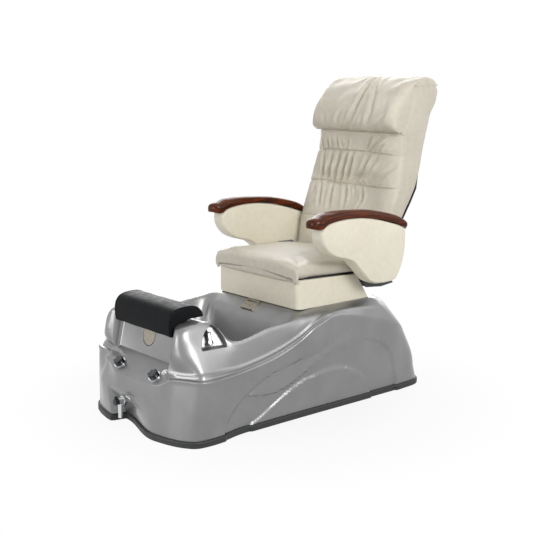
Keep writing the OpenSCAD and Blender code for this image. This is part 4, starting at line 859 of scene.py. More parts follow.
    def cutters(self, grow: float) -> list[bpy.types.Object]:
        """Solids that are taken out of the moulding, each grown by a distance.

        They are the space over the deck between the tower's wings, the space over the deck's front,
        the relief for the footrest's lip and the sprayer's niche.
        """
        g, w = grow, self.panel_hw + 1.3 * grow
        half = np.array([(0, g), (w - 7, g), (w - 2, g - 2), (w, g - 7), (w + 3, -10), (w + 6, -20), (w + 11, -30),
                         (w + 18, -38), (w + 30, -44), (w + 60, -51), (w + 150, -58), (w + 150, -300), (0, -300)])
        outline = np.concatenate([half, half[::-1][1:-1] * (-1.0, 1.0)])
        x, depth = outline.T
        a, t = np.radians(self.panel_tilt), np.tan(np.radians(self.deck_tilt))
        sunk = g / np.cos(np.radians(self.deck_tilt))
        low = (depth * (np.cos(a) * t + np.sin(a)) - sunk) / (np.cos(a) - np.sin(a) * t)
        panel = stacked_solid("panel_cut", self.on_panel(x, depth, low),
                              self.on_panel(x, depth, np.full(len(x), 240.0)))

        angle = np.linspace(0, np.pi / 2, 9)
        r = self.deck_round
        cx, cy = self.deck_hw + g - r, self.deck_step + g - r
        corner = np.stack([cx + r * np.cos(angle), cy + r * np.sin(angle)], axis=-1)
        ring = np.concatenate([[[self.deck_hw + g, -900.0]], corner, corner[::-1] * (-1.0, 1.0),
                               [[-self.deck_hw - g, -900.0]]])
        deck = stacked_solid("deck_cut", np.column_stack([ring, self.deck_height(ring[:, 1], g)]),
                             np.column_stack([ring, np.full(len(ring), 420.0)]))

        lip = np.array([(-700, 388 - g), (-598 + g, 388 - g), (-579 + g, 446 + g), (-700, 446 + g)], float)
        lip_cut = stacked_solid("lip_cut", np.column_stack([np.full(4, -194 - g), lip]),
                                np.column_stack([np.full(4, 194 + g), lip]))
        return [panel, deck, lip_cut, self.niche_cutter(g)]

    def niche_cutter(self, grow: float) -> bpy.types.Object:
        """Sideways prism of the niche's outline that ends on a leaning, turned plane."""
        rel = np.array([(-115, 0), (0, 0), (-3, 25), (-9, 50), (-21, 73), (-36, 84), (-51, 78), (-78, 62), (-98, 38)])
        outline = rounded_outline(rel + np.array(self.niche), 72, 3)
        outline = inset(outline, grow)
        turn, tilt = np.radians(-self.niche_turn), np.radians(self.niche_lean)
        n = np.array([np.cos(tilt) * np.cos(turn), np.cos(tilt) * np.sin(turn), np.sin(tilt)])
        base = np.array([238.0, self.niche[0] - 120.0, self.niche[1]]) - grow * n
        x = base[0] - (n[1] * (outline[:, 0] - base[1]) + n[2] * (outline[:, 1] - base[2])) / n[0]
        return stacked_solid("niche_cut", np.column_stack([x, outline]),
                             np.column_stack([np.full(len(outline), 450.0), outline]))

    def slot_cutter(self) -> bpy.types.Object:
        """Round-ended slot up the tower's panel for the footrest's tongue."""
        r = self.slot_width / 2
        a = np.linspace(np.pi, 2 * np.pi, 25)
        x = np.concatenate([r * np.cos(a), [r, -r]])
        rise = np.concatenate([self.slot_low + r + r * np.sin(a), [260.0, 260.0]])
        return stacked_solid("slot_cut", self.on_panel(x, np.full(len(x), -10.0), rise),
                             self.on_panel(x, np.full(len(x), 14.0), rise))

    def inlet_cutter(self) -> bpy.types.Object:
        """Shallow square seat for the mains inlet in the leaning rear wall."""
        lean = np.radians(7.6)
        corner = np.array([(-30.3, -20.3), (30.3, -20.3), (30.3, 20.3), (-30.3, 20.3)])

        def at(depth: float) -> Array:
            return np.stack([corner[:, 0], 671.3 + depth * np.cos(lean) - corner[:, 1] * np.sin(lean),
                             110 + depth * np.sin(lean) + corner[:, 1] * np.cos(lean)], axis=-1)
        return stacked_solid("inlet_cut", at(-1.0), at(40.0))

    def build(self) -> None:
        """Make the moulding and its skirt."""
        skin = self.outer()
        shell = self.solid("moulding", skin)
        hollow_skin, level = self.net(150, (5, 6, 8, 4, 8, 8, 6, 6, 7, 6))
        thick = self.wall + 6.0 * smooth((np.abs(hollow_skin[..., 0]) - 250) / 40) * (hollow_skin[..., 2] < 330)
        hollow_skin[..., 1] += self.scoop(hollow_skin)
        hollow_skin = hollow_skin - self.normals(hollow_skin) * thick[..., None]
        hollow_skin[0, :, 2] = self.skirt_top - self.wall
        hollow_skin[-1, :, 2] = self.basin - self.wall
        hollow = self.solid("hollow", hollow_skin)
        for tool in self.cutters(self.wall):
            boolean(hollow, tool)
        boolean(shell, hollow)
        for tool in self.cutters(0.0) + [self.slot_cutter(), self.inlet_cutter()]:
            boolean(shell, tool)
        shell.data.polygons.foreach_set("use_smooth", np.ones(len(shell.data.polygons), dtype=bool))
        shell.data.set_sharp_from_angle(angle=np.radians(32))
        finish_piece(shell, SILVER, Body.BASE, ["tub_shell"])
        self.build_skirt(skin[0])

    def build_skirt(self, foot: Array) -> None:
        """Rubber skirt: a round-shouldered section carried along the moulding's foot.

        Each section point is the foot's point moved out along the foot's own normal and set to its
        height.
        """
        section = np.array([(-12, 0), (-12, 25), (0, 25), (4, 24.6), (7, 22.5), (8, 19), (8, 13), (7.4, 11.5),
                            (8, 10), (8, 4), (6.5, 1), (4, 0)], float)
        tangent = unit((np.roll(foot, -1, axis=0) - np.roll(foot, 1, axis=0))[:, :2])
        out = np.stack([tangent[:, 1], -tangent[:, 0]], axis=-1)
        rings = np.concatenate([foot[:, None, :2] + out[:, None] * section[None, :, :1],
                                np.broadcast_to(section[None, :, 1:], (len(foot), len(section), 1))], axis=-1)
        faces = quads(len(foot), len(section), True, True).tolist()
        finish_piece(make_object("skirt", rings.reshape(-1, 3), faces), SKIRT_RUBBER, Body.BASE, ["floor_skirt"])


# ---------------------------------------------------------------- footrest

@dataclass
class Footrest:
    """Padded footrest over the tower: a saddle section carried across the chair."""
    half_width: float = 192.0
    board: float = 451.0
    rounding: float = 11.0

    def profiles(self) -> tuple[Array, Array, Array]:
        """Outer, board-side and end-face contours in (y, z), with equal counts."""
        outer = spline([(-611, 394), (-617, 412), (-619, 440), (-616, 464), (-607, 482), (-592, 494), (-570, 500),
                        (-540, 502), (-510, 500), (-486, 491), (-470, 475), (-464, 460)], 56)
        top = self.board + 8
        inner = spline([(-607, 396), (-603, 408), (-590, top - 12), (-581, top - 5), (-565, top), (-530, top),
                        (-500, top), (-476, top), (-468, top - 3)], 56)
        end = spline([(-607, 393), (-598, 404), (-590, 416), (-567, 433), (-544, 447), (-511, 457), (-488, 457),
                      (-466, 454)], 56)
        return outer, inner, end

    def build(self) -> None:
        """Make the pad with rounded end edges and the piping round its end faces.

        Ring at x: the outer contour pulled towards the inner one by a quarter circle near the ends,
        and the inner contour eased to the end face's arch past the board.
        """
        outer, inner, end = self.profiles()
        flat = self.half_width - self.rounding
        half = np.concatenate([np.linspace(0, 160, 17)[:-1], np.linspace(160, flat, 6)[:-1],
                               flat + self.rounding * np.sin(np.linspace(0, np.pi / 2, 8))])
        x = np.concatenate([-half[:0:-1], half])
        near = np.clip((np.abs(x) - flat) / self.rounding, 0, 1)
        pull = 1 - 0.16 * (1 - np.sqrt(1 - near ** 2)) - 0.02 * (x / self.half_width) ** 2
        hug = smooth((np.abs(x) - 158) / 16)[:, None, None]
        under = inner[None] * (1 - hug) + end[None] * hug
        over = under + (outer[None] - under) * pull[:, None, None]
        ring = np.concatenate([over, under[:, ::-1]], axis=1)
        rings = np.concatenate([np.broadcast_to(x[:, None, None], (*ring.shape[:2], 1)), ring], axis=-1)
        rings = rings + np.array([0.0, 0.0, 1.0]) * (0.7 * crumple(rings, 90, 5))[..., None]
        pad = make_object("footrest_cushion", *tube_of_rings(rings), sharp=60)
        finish_piece(pad, FOOT_VINYL, Body.FOOTREST, ["footrest_pad"])
        for hand, name in ((-1, "right"), (1, "left")):
            arch = end + (outer - end) * 0.965
            path = np.column_stack([np.full(len(arch), hand * (self.half_width - 4.5)), arch])
            welt = swept_tube(f"footrest_piping_{name}", path, 2.0, sides=8)
            finish_piece(welt, FOOT_VINYL, Body.FOOTREST)


# ---------------------------------------------------------------- seat

@dataclass
class Seat:
    """Seat cushion on its pan: a box with full rounded sides and a soft crown."""
    half_width: float = 274.0
    depth: float = 448.0
    height: float = 72.0
    fall: float = 2.0
    overhang: float = 34.0
    plinth: tuple[float, float] = (-43.0, 545.0)

    def on_seat(self, p: Array) -> Array:
        """Points from the frame on the plinth's sloping top edge."""
        a = np.radians(self.fall)
        y, z = p[..., 1], p[..., 2]
        return np.stack([p[..., 0], self.plinth[0] + y * np.cos(a) + z * np.sin(a),
                         self.plinth[1] - y * np.sin(a) + z * np.cos(a)], axis=-1)

    def cushion(self, steps: int, points: int) -> Array:
        """Rings of the cushion from front to rear.

        Ring at t between -1 and 1: a superellipse of power 5 whose width and height shrink towards
        t = -1 and 1 as a superellipse does, with a crown of a quarter in the middle. In front of the
        plinth the lower side hangs further down by the overhang, and its side edges droop.
        """
        t = -np.cos(np.pi * np.arange(steps + 1) / steps)[:, None]
        a = 2 * np.pi * (np.arange(points)[None] + 0.5) / points
        fill = (1.0001 - np.abs(t) ** np.where(t > 0, 60, 7)) ** 0.27
        bx = np.sign(np.cos(a)) * np.abs(np.cos(a)) ** 0.4
        up = 0.5 + np.sign(np.sin(a)) * np.abs(np.sin(a)) ** 0.4 / 2
        crown = 1 + 0.26 * (1 - bx ** 2) * (1 - t ** 2)
        w = self.half_width - 10 + 10 * np.sin(np.pi * up) - 14 * (1 - fill)
        z = 9 + self.height * (0.5 - 0.5 * fill) * 0.9 + self.height * fill * up * crown / 1.1
        y = -14 + self.depth * (t + 1) / 2
        z = z - self.overhang * smooth(-(y + 1.5) / 7) * (1 - up) ** 0.7
        z = z - (9 + 9 * smooth((70 - y) / 60)) * smooth((np.abs(w * bx) - 236) / 16) * (1 - up) ** 2
        return np.stack([w * bx, np.broadcast_to(y, (w * bx).shape), z], axis=-1)

    def build(self) -> None:
        """Make the cushion with its soft swells and the pulls at its front corners."""
        rings = self.cushion(70, 150)
        flat = rings[..., 2] > 40
        folds = 2.2 * crumple(rings * (1.0, 0.6, 1.0), 150, 11) + 0.8 * crumple(rings, 50, 12)
        rings[..., 2] += np.where(flat, folds - 1.5, 0.0) * smooth((rings[..., 2] - 40) / 20)
        pulls = (Fold([(262, -6), (210, 40), (150, 70)], 5.0, 14.0), Fold([(255, 30), (205, 62)], 3.5, 9.0),
                 Fold([(120, -8), (95, 40)], 3.0, 12.0), Fold([(-250, 20), (-190, 60)], 3.5, 12.0))
        rings[..., 2] -= sum(pull.depth(rings[..., :2]) for pull in pulls) * smooth((rings[..., 2] - 45) / 20)
        cushion = make_object("seat_upholstery", *tube_of_rings(self.on_seat(rings)), sharp=70)
        # The cushion takes the darker ivory copy of the leathercloth, whose darkness is partly painted shade.
        finish_piece(cushion, SHADED_IVORY, Body.SEAT, ["seat_cushion"])


# ---------------------------------------------------------------- arms

@dataclass
class Arm:
    """One upholstered arm with its wooden cap.

    Args:
        hand: 1 for the sitter's left, -1 for the right.
    """
    hand: int
    centre: float = 320.5
    width: float = 73.0
    cap_width: float = 76.0
    cap_thick: float = 33.0
    top: Sequence[tuple[float, float]] = ((6, 761), (19, 769), (35, 776), (62, 782), (95, 786), (140, 789),
                                          (185, 788.5), (230, 785), (280, 778), (340, 765), (400, 749), (440, 736), (472, 723))
    leg: Sequence[tuple[float, float]] = ((480, 712), (481, 690), (481, 655), (477, 622), (464, 576), (444, 530),
                                          (428, 508), (405, 499), (356, 498), (302, 501), (266, 518), (238, 545),
                                          (212, 572), (190, 594), (168, 611), (144, 620), (110, 628), (76, 638),
                                          (42, 655), (16, 680), (3, 706), (0, 738))

    @property
    def side(self) -> str:
        """Name of the arm's side."""
        return "left" if self.hand > 0 else "right"

    @property
    def body(self) -> Body:
        """Body that the arm rides on."""
        return Body.ARM_LEFT if self.hand > 0 else Body.ARM_RIGHT

    def panel(self) -> bpy.types.Object:
        """Upholstered panel: the outline set in by a quarter ellipse towards both faces."""
        outline = rounded_outline(list(self.top) + list(self.leg), 220, 3)
        a = np.linspace(0, np.pi / 2, 8)
        across = np.concatenate([20 * (1 - np.cos(a)), [28, 36.5, 45], self.width - 20 * (1 - np.cos(a))[::-1]])
        back = np.concatenate([9 * (1 - np.sin(a)), [0, 0, 0], 9 * (1 - np.sin(a))[::-1]])
        side = self.hand * (self.centre - self.width / 2 + across)
        rings = np.stack([np.column_stack([np.full(len(outline), x), inset(outline, d)]) for x, d in zip(side, back)])
        rings[..., 0] += self.hand * 1.2 * crumple(rings, 120, 21 + self.hand) * (np.abs(rings[..., 0]) > self.centre)
        return make_object(f"arm_upholstery_{self.side}", *tube_of_rings(rings), sharp=60)

    def cap(self) -> bpy.types.Object:
        """Wooden cap: a crowned section carried along the arm's top, with a round nose.

        The sections stand upright in the nose and square to the path behind it.
        """
        keys = np.array([(-42, 772), (-39, 765), (-33, 760.5), (-22, 757.5), (-8, 757), *self.top,
                         (482, 718), (490, 713)], float)
        path = spline(keys, 150)
        size = [0.3, 0.73, 1.05, 1.3, 1.39, 1.38, 1.28, 1.2, 1.1, 1.03, 0.92, 0.86, 0.88, 0.95, 1.02, 1.08, 1.08, 0.95,
                0.75, 0.4]
        wide = [0.3, 0.5, 0.72, 0.9] + [1.0] * 14 + [0.88, 0.6]
        key_run = np.concatenate([[0.0], np.cumsum(np.linalg.norm(np.diff(keys, axis=0), axis=1))])
        at = np.linspace(0, key_run[-1], len(path))
        k, w = (spline(np.column_stack([key_run, v]), 600) for v in (size, wide))
        k, w = (np.interp(at, v[:, 0], v[:, 1])[:, None] for v in (k, w))
        section = spline([(-0.94, 0), (-1, 0.35), (-0.94, 0.66), (-0.75, 0.86), (-0.4, 0.97), (0, 1),
                          (0.4, 0.97), (0.75, 0.86), (0.94, 0.66), (1, 0.35), (0.94, 0)], 36)
        level = np.array([[1.0, 0.0]])
        lean = smooth((path[:, :1] - 25) / 60)
        run = unit(level * (1 - lean) + unit(np.gradient(path, axis=0)) * lean)
        h = 0.5 + section[None, :, 1] * self.cap_thick * k
        x = self.hand * self.centre + section[None, :, 0] * self.cap_width / 2 * w
        rings = np.stack([x, path[:, :1] - run[:, 1:] * h, path[:, 1:] + run[:, :1] * h], axis=-1)
        return make_object(f"arm_cap_wood_{self.side}", *tube_of_rings(rings), sharp=50)

    def build(self) -> None:
        """Make both pieces."""
        finish_piece(self.panel(), CREAM, self.body, [f"arm_panel_{self.side}"])
        finish_piece(self.cap(), LACQUER, self.body, [f"arm_cap_{self.side}"])


# ---------------------------------------------------------------- back

@dataclass
class Back:
    """Upholstered back: gathered cushion, side bolsters and the headrest's hood."""
    half: float = 272.0
    panel_thick: float = 22.0
    pillow_half: float = 257.0
    pillow_round: float = 42.0
    gather_deepen: float = 1.35
    gather_narrow: float = 0.85
    table: Array = field(init=False)

    def __post_init__(self) -> None:
        """Rows of height, front edge, front centre, pad rear, rear face and half width."""
        w = self.half
        self.table = np.array([
            [586, 403, 404, 432, 463, w - 12], [650, 411, 422, 450, 488, w - 4], [700, 420, 438, 466, 518, w],
            [760, 434, 466, 490, 552, w + 4], [810, 448, 490, 514, 582, w + 7], [870, 468, 520, 548, 616, w + 8],
            [940, 486, 512, 562, 648, w + 2], [1013, 520, 526, 574, 676, w - 9], [1060, 518, 520, 578, 692, w - 12],
            [1104, 522, 524, 582, 706, w - 13], [1122, 566, 566, 592, 712, w - 13],
            [1180, 597, 597, 622, 726, w - 13], [1250, 606, 606, 636, 748, w - 13],
            [1304, 618, 618, 650, 764, w - 16]], float)

    def rows(self, z: Array) -> Array:
        """Table columns at heights z."""
        return np.stack([np.interp(z, self.table[:, 0], self.table[:, k]) for k in range(6)], axis=-1)

    def gathers(self, x: Array, z: Array) -> Array:
        """Depth of the sewn relief of the front, positive inwards.

        Three seams run across. Valleys hang between the upper two, run out below the middle one
        and stand as short puckers over the top one, and pulls fall from the right of the top.
        """
        folds = [Fold(path, self.gather_deepen * deep, self.gather_narrow * wide) for path, deep, wide in (
            (((-196, 1010), (-182, 925), (-196, 874)), 10.0, 7.0),
            (((-143, 1018), (-143, 928), (-159, 874)), 12.0, 8.0),
            (((-91, 1022), (-103, 930), (-116, 872)), 12.0, 7.5), (((-45, 1020), (-60, 919), (-77, 870)), 12.0, 7.5),
            (((-6, 1020), (-27, 922), (-50, 872)), 11.0, 7.5),
            (((88, 1024), (62, 928), (20, 897), (-6, 866)), 11.0, 10.0),
            (((152, 1015), (93, 937), (48, 876)), 7.0, 9.0), (((270, 990), (144, 881)), 4.5, 9.0),
            (((-189, 868), (-176, 820), (-164, 768)), 8.0, 7.0), (((-121, 866), (-112, 810), (-106, 760)), 8.5, 8.0),
            (((-40, 866), (-30, 820), (-21, 764)), 8.5, 8.0), (((54, 868), (86, 815), (66, 780)), 9.0, 7.0),
            (((-220, 866), (-226, 820)), 4.0, 7.0), (((10, 868), (24, 830)), 5.0, 6.0),
            (((-214, 1070), (-198, 1014)), 7.0, 5.0), (((-174, 1070), (-166, 1016)), 7.0, 5.0),
            (((-148, 1072), (-133, 1018)), 6.0, 5.0), (((-114, 1074), (-98, 1018)), 7.0, 5.0),
            (((-90, 1074), (-66, 1018)), 6.0, 5.0), (((-37, 1076), (-45, 1018)), 6.0, 5.0),
            (((112, 1098), (76, 1028)), 8.0, 6.0), (((180, 1098), (92, 1020)), 8.0, 7.0),
            (((176, 1058), (144, 1020)), 5.0, 6.0), (((-165, 905), (-176, 872)), 4.0, 5.0),
            (((-128, 906), (-140, 872)), 4.0, 5.0), (((62, 900), (76, 868)), 5.0, 6.0))]
        folds += [Fold(path, deep, 2.8, 0.0) for path, deep in (
            (((-280, 1012), (-250, 1015), (-89, 1020), (66, 1019), (197, 1013), (280, 1007)), 4.5),
            (((-285, 869), (-262, 871), (-188, 879), (-104, 871), (17, 870), (100, 870), (242, 873), (285, 872)), 4.5),
            (((-285, 719), (0, 724), (285, 719)), 3.5))]
        plan = np.stack([x, z], axis=-1)
        deep = sum(fold.depth(plan) for fold in folds)
        for height in (1016.0, 872.0, 721.0):
            deep = deep - 2.5 * np.exp(-((np.abs(z - height) - 18) / 11) ** 2)
        return deep

    def cushion(self) -> bpy.types.Object:
        """Front pad: rows up the back whose front is a parabola with rounded edges and the gathers."""
        z = np.unique(np.concatenate([np.linspace(586, 1104, 210), np.linspace(1104, 1304, 30)]))
        row = self.rows(z)
        soft = row[:, :3].copy()
        for _ in range(14):
            soft[1:-1] = 0.25 * (soft[:-2] + 2 * soft[1:-1] + soft[2:])
        keep = smooth((1098 - z) / 20)[:, None]
        row[:, 1:3] = soft[:, 1:3] * keep + row[:, 1:3] * (1 - keep)
        n = 230
        t = np.sin(np.linspace(-np.pi / 2, np.pi / 2, n)) * 0.5 + np.linspace(-1, 1, n) * 0.5
        w = row[:, 5:6] - 1
        edge = 1 - np.sqrt(np.maximum(1 - np.abs(t) ** 7, 0))
        y = (row[:, 1:2] + (row[:, 2:3] - row[:, 1:2]) * (1 - t ** 2)
             + (row[:, 3:4] - row[:, 1:2] - 4) * edge * 0.9)
        x = w * t
        zz = np.broadcast_to(z[:, None], x.shape)
        p = np.stack([x, y, zz], axis=-1)
        fade = (0.35 + 0.65 * smooth((1 - np.abs(t)) / 0.12)) * smooth((1102 - zz) / 8)
        p[..., 1] += self.gathers(x, zz) * fade + 2.4 * crumple(p, 110, 31) * fade
        rear = np.stack([np.stack([side * w[:, 0], row[:, 3], z], axis=-1) for side in (1, -1)], axis=1)
        p[..., 1] = np.minimum(p[..., 1], row[:, 3:4] - 3)
        rings = np.concatenate([p, rear], axis=1)
        return make_object("back_upholstery", *tube_of_rings(rings), sharp=75)

    def bolster(self, hand: int) -> bpy.types.Object:
        """Side panel: a rounded rectangle between the pad and the rear shell at each height.

        It runs from the pad's rear below the flap, and from the pad's front beside it.
        """
        z = np.linspace(586, 1304, 120)
        row = self.rows(z)
        upper = smooth((z - 1080) / 45)[:, None]
        fore = (row[:, 3:4] - 3) * (1 - upper) + (row[:, 1:2] - 4) * upper
        aft = row[:, 4:5] + 18 * (smooth((z - 1170) / 70) * (1 - smooth((z - 1280) / 26)))[:, None]
        out, into = row[:, 5:6], row[:, 5:6] - self.panel_thick
        r = 9.0
        a = np.linspace(0, np.pi / 2, 6)[None]
        mid = np.linspace(0, 1, 8)[None]
        swell = 3.0 * np.sin(np.pi * mid)
        x = np.concatenate([into, out - 2 - r + r * np.sin(a), out - 2 + swell,
                            out - 2 - r + r * np.cos(a), into], axis=1)
        y = np.concatenate([fore, fore + r - r * np.cos(a), fore + r + (aft - fore - 2 * r) * mid,
                            aft - r + r * np.sin(a), aft], axis=1)
        rings = np.stack([hand * x, y, np.broadcast_to(z[:, None], x.shape)], axis=-1)
        rings[..., 0] += hand * 1.0 * crumple(rings, 110, 41) * (np.abs(rings[..., 0]) > row[:, 5:6] - 8)
        side = "left" if hand > 0 else "right"
        return make_object(f"back_bolster_{side}", *tube_of_rings(rings), sharp=60)

    def hood(self) -> bpy.types.Object:
        """Headrest flap that wraps over the top, with drape folds that fall from its crown.

        Ring at x: the outer contour, rounded over to the side face's contour by a quarter circle
        in the last pillow_round. The folds are drawn on the flap's plan: sideways, and along the contour.
        """
        outer = spline([(524, 1109), (500, 1118), (485, 1140), (482, 1165), (487, 1192), (500, 1218), (524, 1250),
                        (554, 1284), (592, 1315), (641, 1337), (690, 1347), (728, 1347), (758, 1336), (771, 1316)], 140)
        inner = spline([(527.5, 1106.5), (540.5, 1112), (565.5, 1122), (581.2, 1151), (596.7, 1180), (601.2, 1215),
                        (605.7, 1250), (611.7, 1277), (617.7, 1304.3), (634, 1304.3), (650, 1304.3),
                        (700, 1304.3), (740, 1304.3), (766, 1304.3)], 140)
        end = spline([(528, 1110), (512, 1120), (507, 1138), (524, 1158), (547, 1184), (563, 1212), (583, 1244),
                      (604, 1278), (622, 1307), (645, 1329), (684, 1331), (718, 1321), (748, 1310), (767, 1305)], 140)
        t = np.sin(np.linspace(-np.pi / 2, np.pi / 2, 190)) * 0.7 + np.linspace(-1, 1, 190) * 0.3
        near = np.clip((np.abs(t) * self.pillow_half - (self.pillow_half - self.pillow_round)) / self.pillow_round, 0, 1)
        over = end[None] + (outer[None] - end[None]) * np.sqrt(1 - near ** 2)[:, None, None]
        x = np.broadcast_to((t * self.pillow_half)[:, None], over.shape[:2])
        step = np.concatenate([[0.0], np.cumsum(np.linalg.norm(np.diff(outer, axis=0), axis=1))])
        crown = int(outer[:, 1].argmax())

        def on_flap(path: Sequence[tuple[float, float]]) -> list[tuple[float, float]]:
            """Sideways place and height to sideways place and distance along the contour."""
            return [(a, float(np.interp(z, outer[:crown, 1], step[:crown]))) for a, z in path]

        plan = np.stack([x, np.broadcast_to(step[None], x.shape)], axis=-1)
        valley = sum(Fold(on_flap(path), deep, wide).depth(plan) for path, deep, wide in (
            (((0, 1345), (20, 1308), (26, 1235), (23, 1202), (12, 1175), (-4, 1142), (-24, 1114)), 13.0, 8.5),
            (((36, 1341), (66, 1308), (93, 1276), (114, 1235), (123, 1199), (105, 1146)), 8.0, 9.0),
            (((-64, 1296), (-46, 1316), (-30, 1344)), 6.0, 7.0), (((-10, 1302), (10, 1330), (4, 1346)), 5.0, 5.0),
            (((100, 1318), (72, 1345)), 5.0, 7.0), (((226, 1205), (178, 1150), (146, 1116)), 5.0, 11.0),
            (((-62, 1195), (-74, 1160), (-86, 1116)), 6.0, 8.0), (((76, 1182), (72, 1150), (60, 1120)), 6.0, 7.0),
            (((-158, 1185), (-160, 1150), (-150, 1118)), 3.5, 9.0),
            (((160, 1290), (190, 1240), (196, 1190)), 3.5, 14.0)))
        tangent = unit(np.gradient(outer, axis=0))
        inward = np.stack([-tangent[:, 1], tangent[:, 0]], axis=-1)
        inward *= np.sign((inward * (inner - outer)).sum(-1, keepdims=True))
        p = np.concatenate([x[..., None], over], axis=-1)
        run = step[None] / step[-1]
        fade = smooth((1 - np.abs(t)) / 0.16)[:, None] * smooth(run / 0.03) * smooth((1 - run) / 0.05)
        p[..., 1:] += inward[None] * (fade * (valley + 2.2 * crumple(p, 100, 51)))[..., None]
        under = np.concatenate([x[..., None], np.broadcast_to(inner[None], over.shape)], axis=-1)[:, ::-1]
        return make_object("headrest_upholstery", *crescent_tube(np.concatenate([p, under], axis=1)), sharp=60)

    def build(self) -> None:
        """Make the pieces of the back."""
        # The back's pieces take the darker ivory copy of the leathercloth, whose darkness is partly painted shade.
        finish_piece(self.cushion(), SHADED_IVORY, Body.BACK, ["back_cushion"])
        finish_piece(self.bolster(1), SHADED_IVORY, Body.BACK, ["back_side_panels"])
        finish_piece(self.bolster(-1), SHADED_IVORY, Body.BACK, ["back_side_panels"])
        finish_piece(self.hood(), SHADED_IVORY, Body.BACK, ["headrest_pillow"])


# ---------------------------------------------------------------- carried-over nodes

@dataclass
class Fittings:
    """Finishes of the CAD nodes that are shown as they are."""
    finishes: dict[str, Finish] = field(default_factory=lambda: {
        **dict.fromkeys(("chassis_frame", "fixed_rails", "slide_carriage", "back_frame", "massage_carriage"),
                        FRAME_STEEL),
        **dict.fromkeys(("levelling_feet",), RUBBER),
        **dict.fromkeys(("drain_strainer", "drain_valve_body", "drain_valve_stem", "jet_housing", "knob_escutcheons",
                         "air_bezel", "air_button", "sprayer_dock", "hand_sprayer", "massage_rails", "recline_rod",
                         "plate_bolts"), CHROME),
        # The knobs' chrome is darkened: a painted dark reflection.
        **dict.fromkeys(("hot_knob", "cold_knob"), PAINTED_DARK_CHROME),
        **dict.fromkeys(("niche_plate",), SILVER),
        **dict.fromkeys(("footrest_tongue", "waterfall_spout"), BRUSHED),
        **dict.fromkeys(("footrest_guide", "seat_plate", "arm_brackets_left", "arm_brackets_right"), GALVANISED),
        **dict.fromkeys(("mixer_valves", "supply_pipe"), BRASS),
        **dict.fromkeys(("drain_pipe",), PIPE),
        **dict.fromkeys(("drain_knob", "jet_motor", "control_box", "power_inlet", "footrest_board", "seat_pan",
                         "back_rear_shell", "recline_actuator"), ABS),
        **dict.fromkeys(("massage_rollers",), NYLON),
        **dict.fromkeys(("plinth_cover",), CREAM)})

    def build(self) -> None:
        """Put each finish in its node's slots."""
        for name, finish in self.finishes.items():
            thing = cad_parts[name]
            if not thing.material_slots:
                thing.data.materials.append(None)
            for spot in thing.material_slots:
                spot.material = finish.material()
        LOG.info("%d carried-over nodes dressed", len(self.finishes))


# ---------------------------------------------------------------- studio

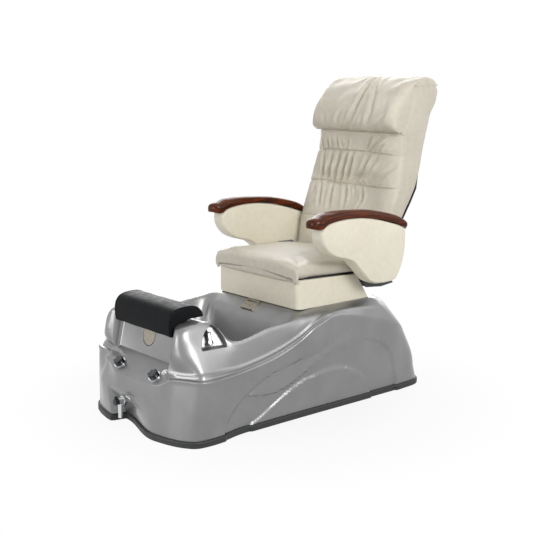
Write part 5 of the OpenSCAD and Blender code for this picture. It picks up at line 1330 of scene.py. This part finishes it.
@dataclass
class Studio:
    """Pale floor, soft lamps and the camera."""
    lens: float = 68.913
    eye: tuple[float, float, float] = (3230.48, -2722.31, 1357.23)
    azimuth: float = 49.9845
    elevation: float = 10.7078

    def camera(self) -> None:
        """Camera at the eye, turned about the vertical and tipped down."""
        data = bpy.data.cameras.new("camera")
        data.lens = self.lens
        data.sensor_width = 36.0
        data.sensor_fit = "HORIZONTAL"
        data.clip_end = 50.0
        thing = bpy.data.objects.new("camera", data)
        thing.location = [v * MM for v in self.eye]
        thing.rotation_euler = (np.radians(90 - self.elevation), 0.0, np.radians(self.azimuth))
        bpy.context.scene.collection.objects.link(thing)
        bpy.context.scene.camera = thing

    def lamp(self, name: str, at: tuple[float, float, float], size: tuple[float, float], power: float,
             towards: tuple[float, float, float] = (0.0, -0.1, 0.5)) -> None:
        """Rectangular soft lamp that faces a point, in metres and watts."""
        data = bpy.data.lights.new(name, "AREA")
        data.shape = "RECTANGLE"
        data.size, data.size_y = size
        data.energy = power
        thing = bpy.data.objects.new(name, data)
        forward = np.array(at) - np.array(towards)
        z = forward / np.linalg.norm(forward)
        x = np.cross((0.0, 0.0, 1.0), z)
        x = x / np.linalg.norm(x) if np.linalg.norm(x) > 1e-6 else np.array([1.0, 0.0, 0.0])
        y = np.cross(z, x)
        thing.matrix_world = Matrix([[x[0], y[0], z[0], at[0]], [x[1], y[1], z[1], at[1]],
                                     [x[2], y[2], z[2], at[2]], [0, 0, 0, 1]])
        bpy.context.scene.collection.objects.link(thing)

    def seen(self, tree: bpy.types.NodeTree) -> bpy.types.NodeSocket:
        """1 for a ray from the camera, off gloss or through glass, and 0 for the light on the chair."""
        path = add(tree, "ShaderNodeLightPath")
        either = add(tree, "ShaderNodeMath", {0: path.outputs["Is Camera Ray"], 1: path.outputs["Is Glossy Ray"]},
                     operation="MAXIMUM").outputs[0]
        return add(tree, "ShaderNodeMath", {0: either, 1: path.outputs["Is Transmission Ray"]},
                   operation="MAXIMUM").outputs[0]

    def world(self) -> None:
        """Grey light from all round, white where the camera, gloss or glass sees it."""
        world = bpy.data.worlds.new("studio")
        bpy.context.scene.world = world
        world.use_nodes = True
        tree = world.node_tree
        tree.nodes.clear()
        seen = self.seen(tree)
        dim = add(tree, "ShaderNodeBackground", {"Color": colour("#ffffff"), "Strength": 0.26})
        white = add(tree, "ShaderNodeBackground", {"Color": colour("#ffffff"), "Strength": 1.0})
        mix = add(tree, "ShaderNodeMixShader", {0: seen, 1: dim.outputs[0], 2: white.outputs[0]})
        add(tree, "ShaderNodeOutputWorld", {"Surface": mix.outputs[0]})

    def floor(self) -> None:
        """Pale floor that the camera, gloss and glass see as white, with a soft shadow round the chair."""
        bpy.ops.mesh.primitive_plane_add(size=40.0, location=(0.0, 0.0, 0.0))
        thing = bpy.context.object
        thing.name = "studio_floor"
        made = bpy.data.materials.new("pale studio paper")
        made.use_nodes = True
        tree = made.node_tree
        tree.nodes.clear()
        paper = add(tree, "ShaderNodeBsdfDiffuse", {"Color": colour("#b4b4b4")})
        white = add(tree, "ShaderNodeEmission", {"Color": colour("#ffffff"), "Strength": 1.0})
        where = add(tree, "ShaderNodeTexCoord").outputs["Object"]
        far = add(tree, "ShaderNodeVectorMath", {0: where}, operation="LENGTH").outputs["Value"]
        pale = add(tree, "ShaderNodeMapRange", {"Value": far, "From Min": 0.4, "From Max": 1.1,
                                                "To Min": 0.88, "To Max": 1.0})
        share = add(tree, "ShaderNodeMath", {0: self.seen(tree), 1: pale.outputs["Result"]}, operation="MULTIPLY")
        mix = add(tree, "ShaderNodeMixShader", {0: share.outputs[0], 1: paper.outputs[0], 2: white.outputs[0]})
        add(tree, "ShaderNodeOutputMaterial", {"Surface": mix.outputs[0]})
        thing.data.materials.append(made)

    def build(self) -> None:
        """Set up the studio."""
        self.camera()
        self.world()
        self.floor()
        self.lamp("key", (3.7, -0.3, 2.8), (2.0, 1.8), 120.0)
        self.lamp("top", (0.0, 0.9, 3.7), (3.0, 2.4), 12.0)
        self.lamp("front", (-0.5, -4.8, 1.6), (4.0, 2.4), 122.0)
        self.lamp("backdrop", (-3.4, 3.0, 2.7), (4.4, 4.2), 255.0)
        self.lamp("side", (3.2, 3.1, 2.5), (3.0, 2.2), 25.0)
        bpy.context.scene.view_settings.view_transform = "Standard"


def main() -> None:
    """Build every sub-assembly in order."""
    Studio().build()
    BaseMoulding().build()
    Footrest().build()
    Seat().build()
    for hand in (1, -1):
        Arm(hand).build()
    Back().build()
    Fittings().build()


if __name__ == "__main__":
    main()
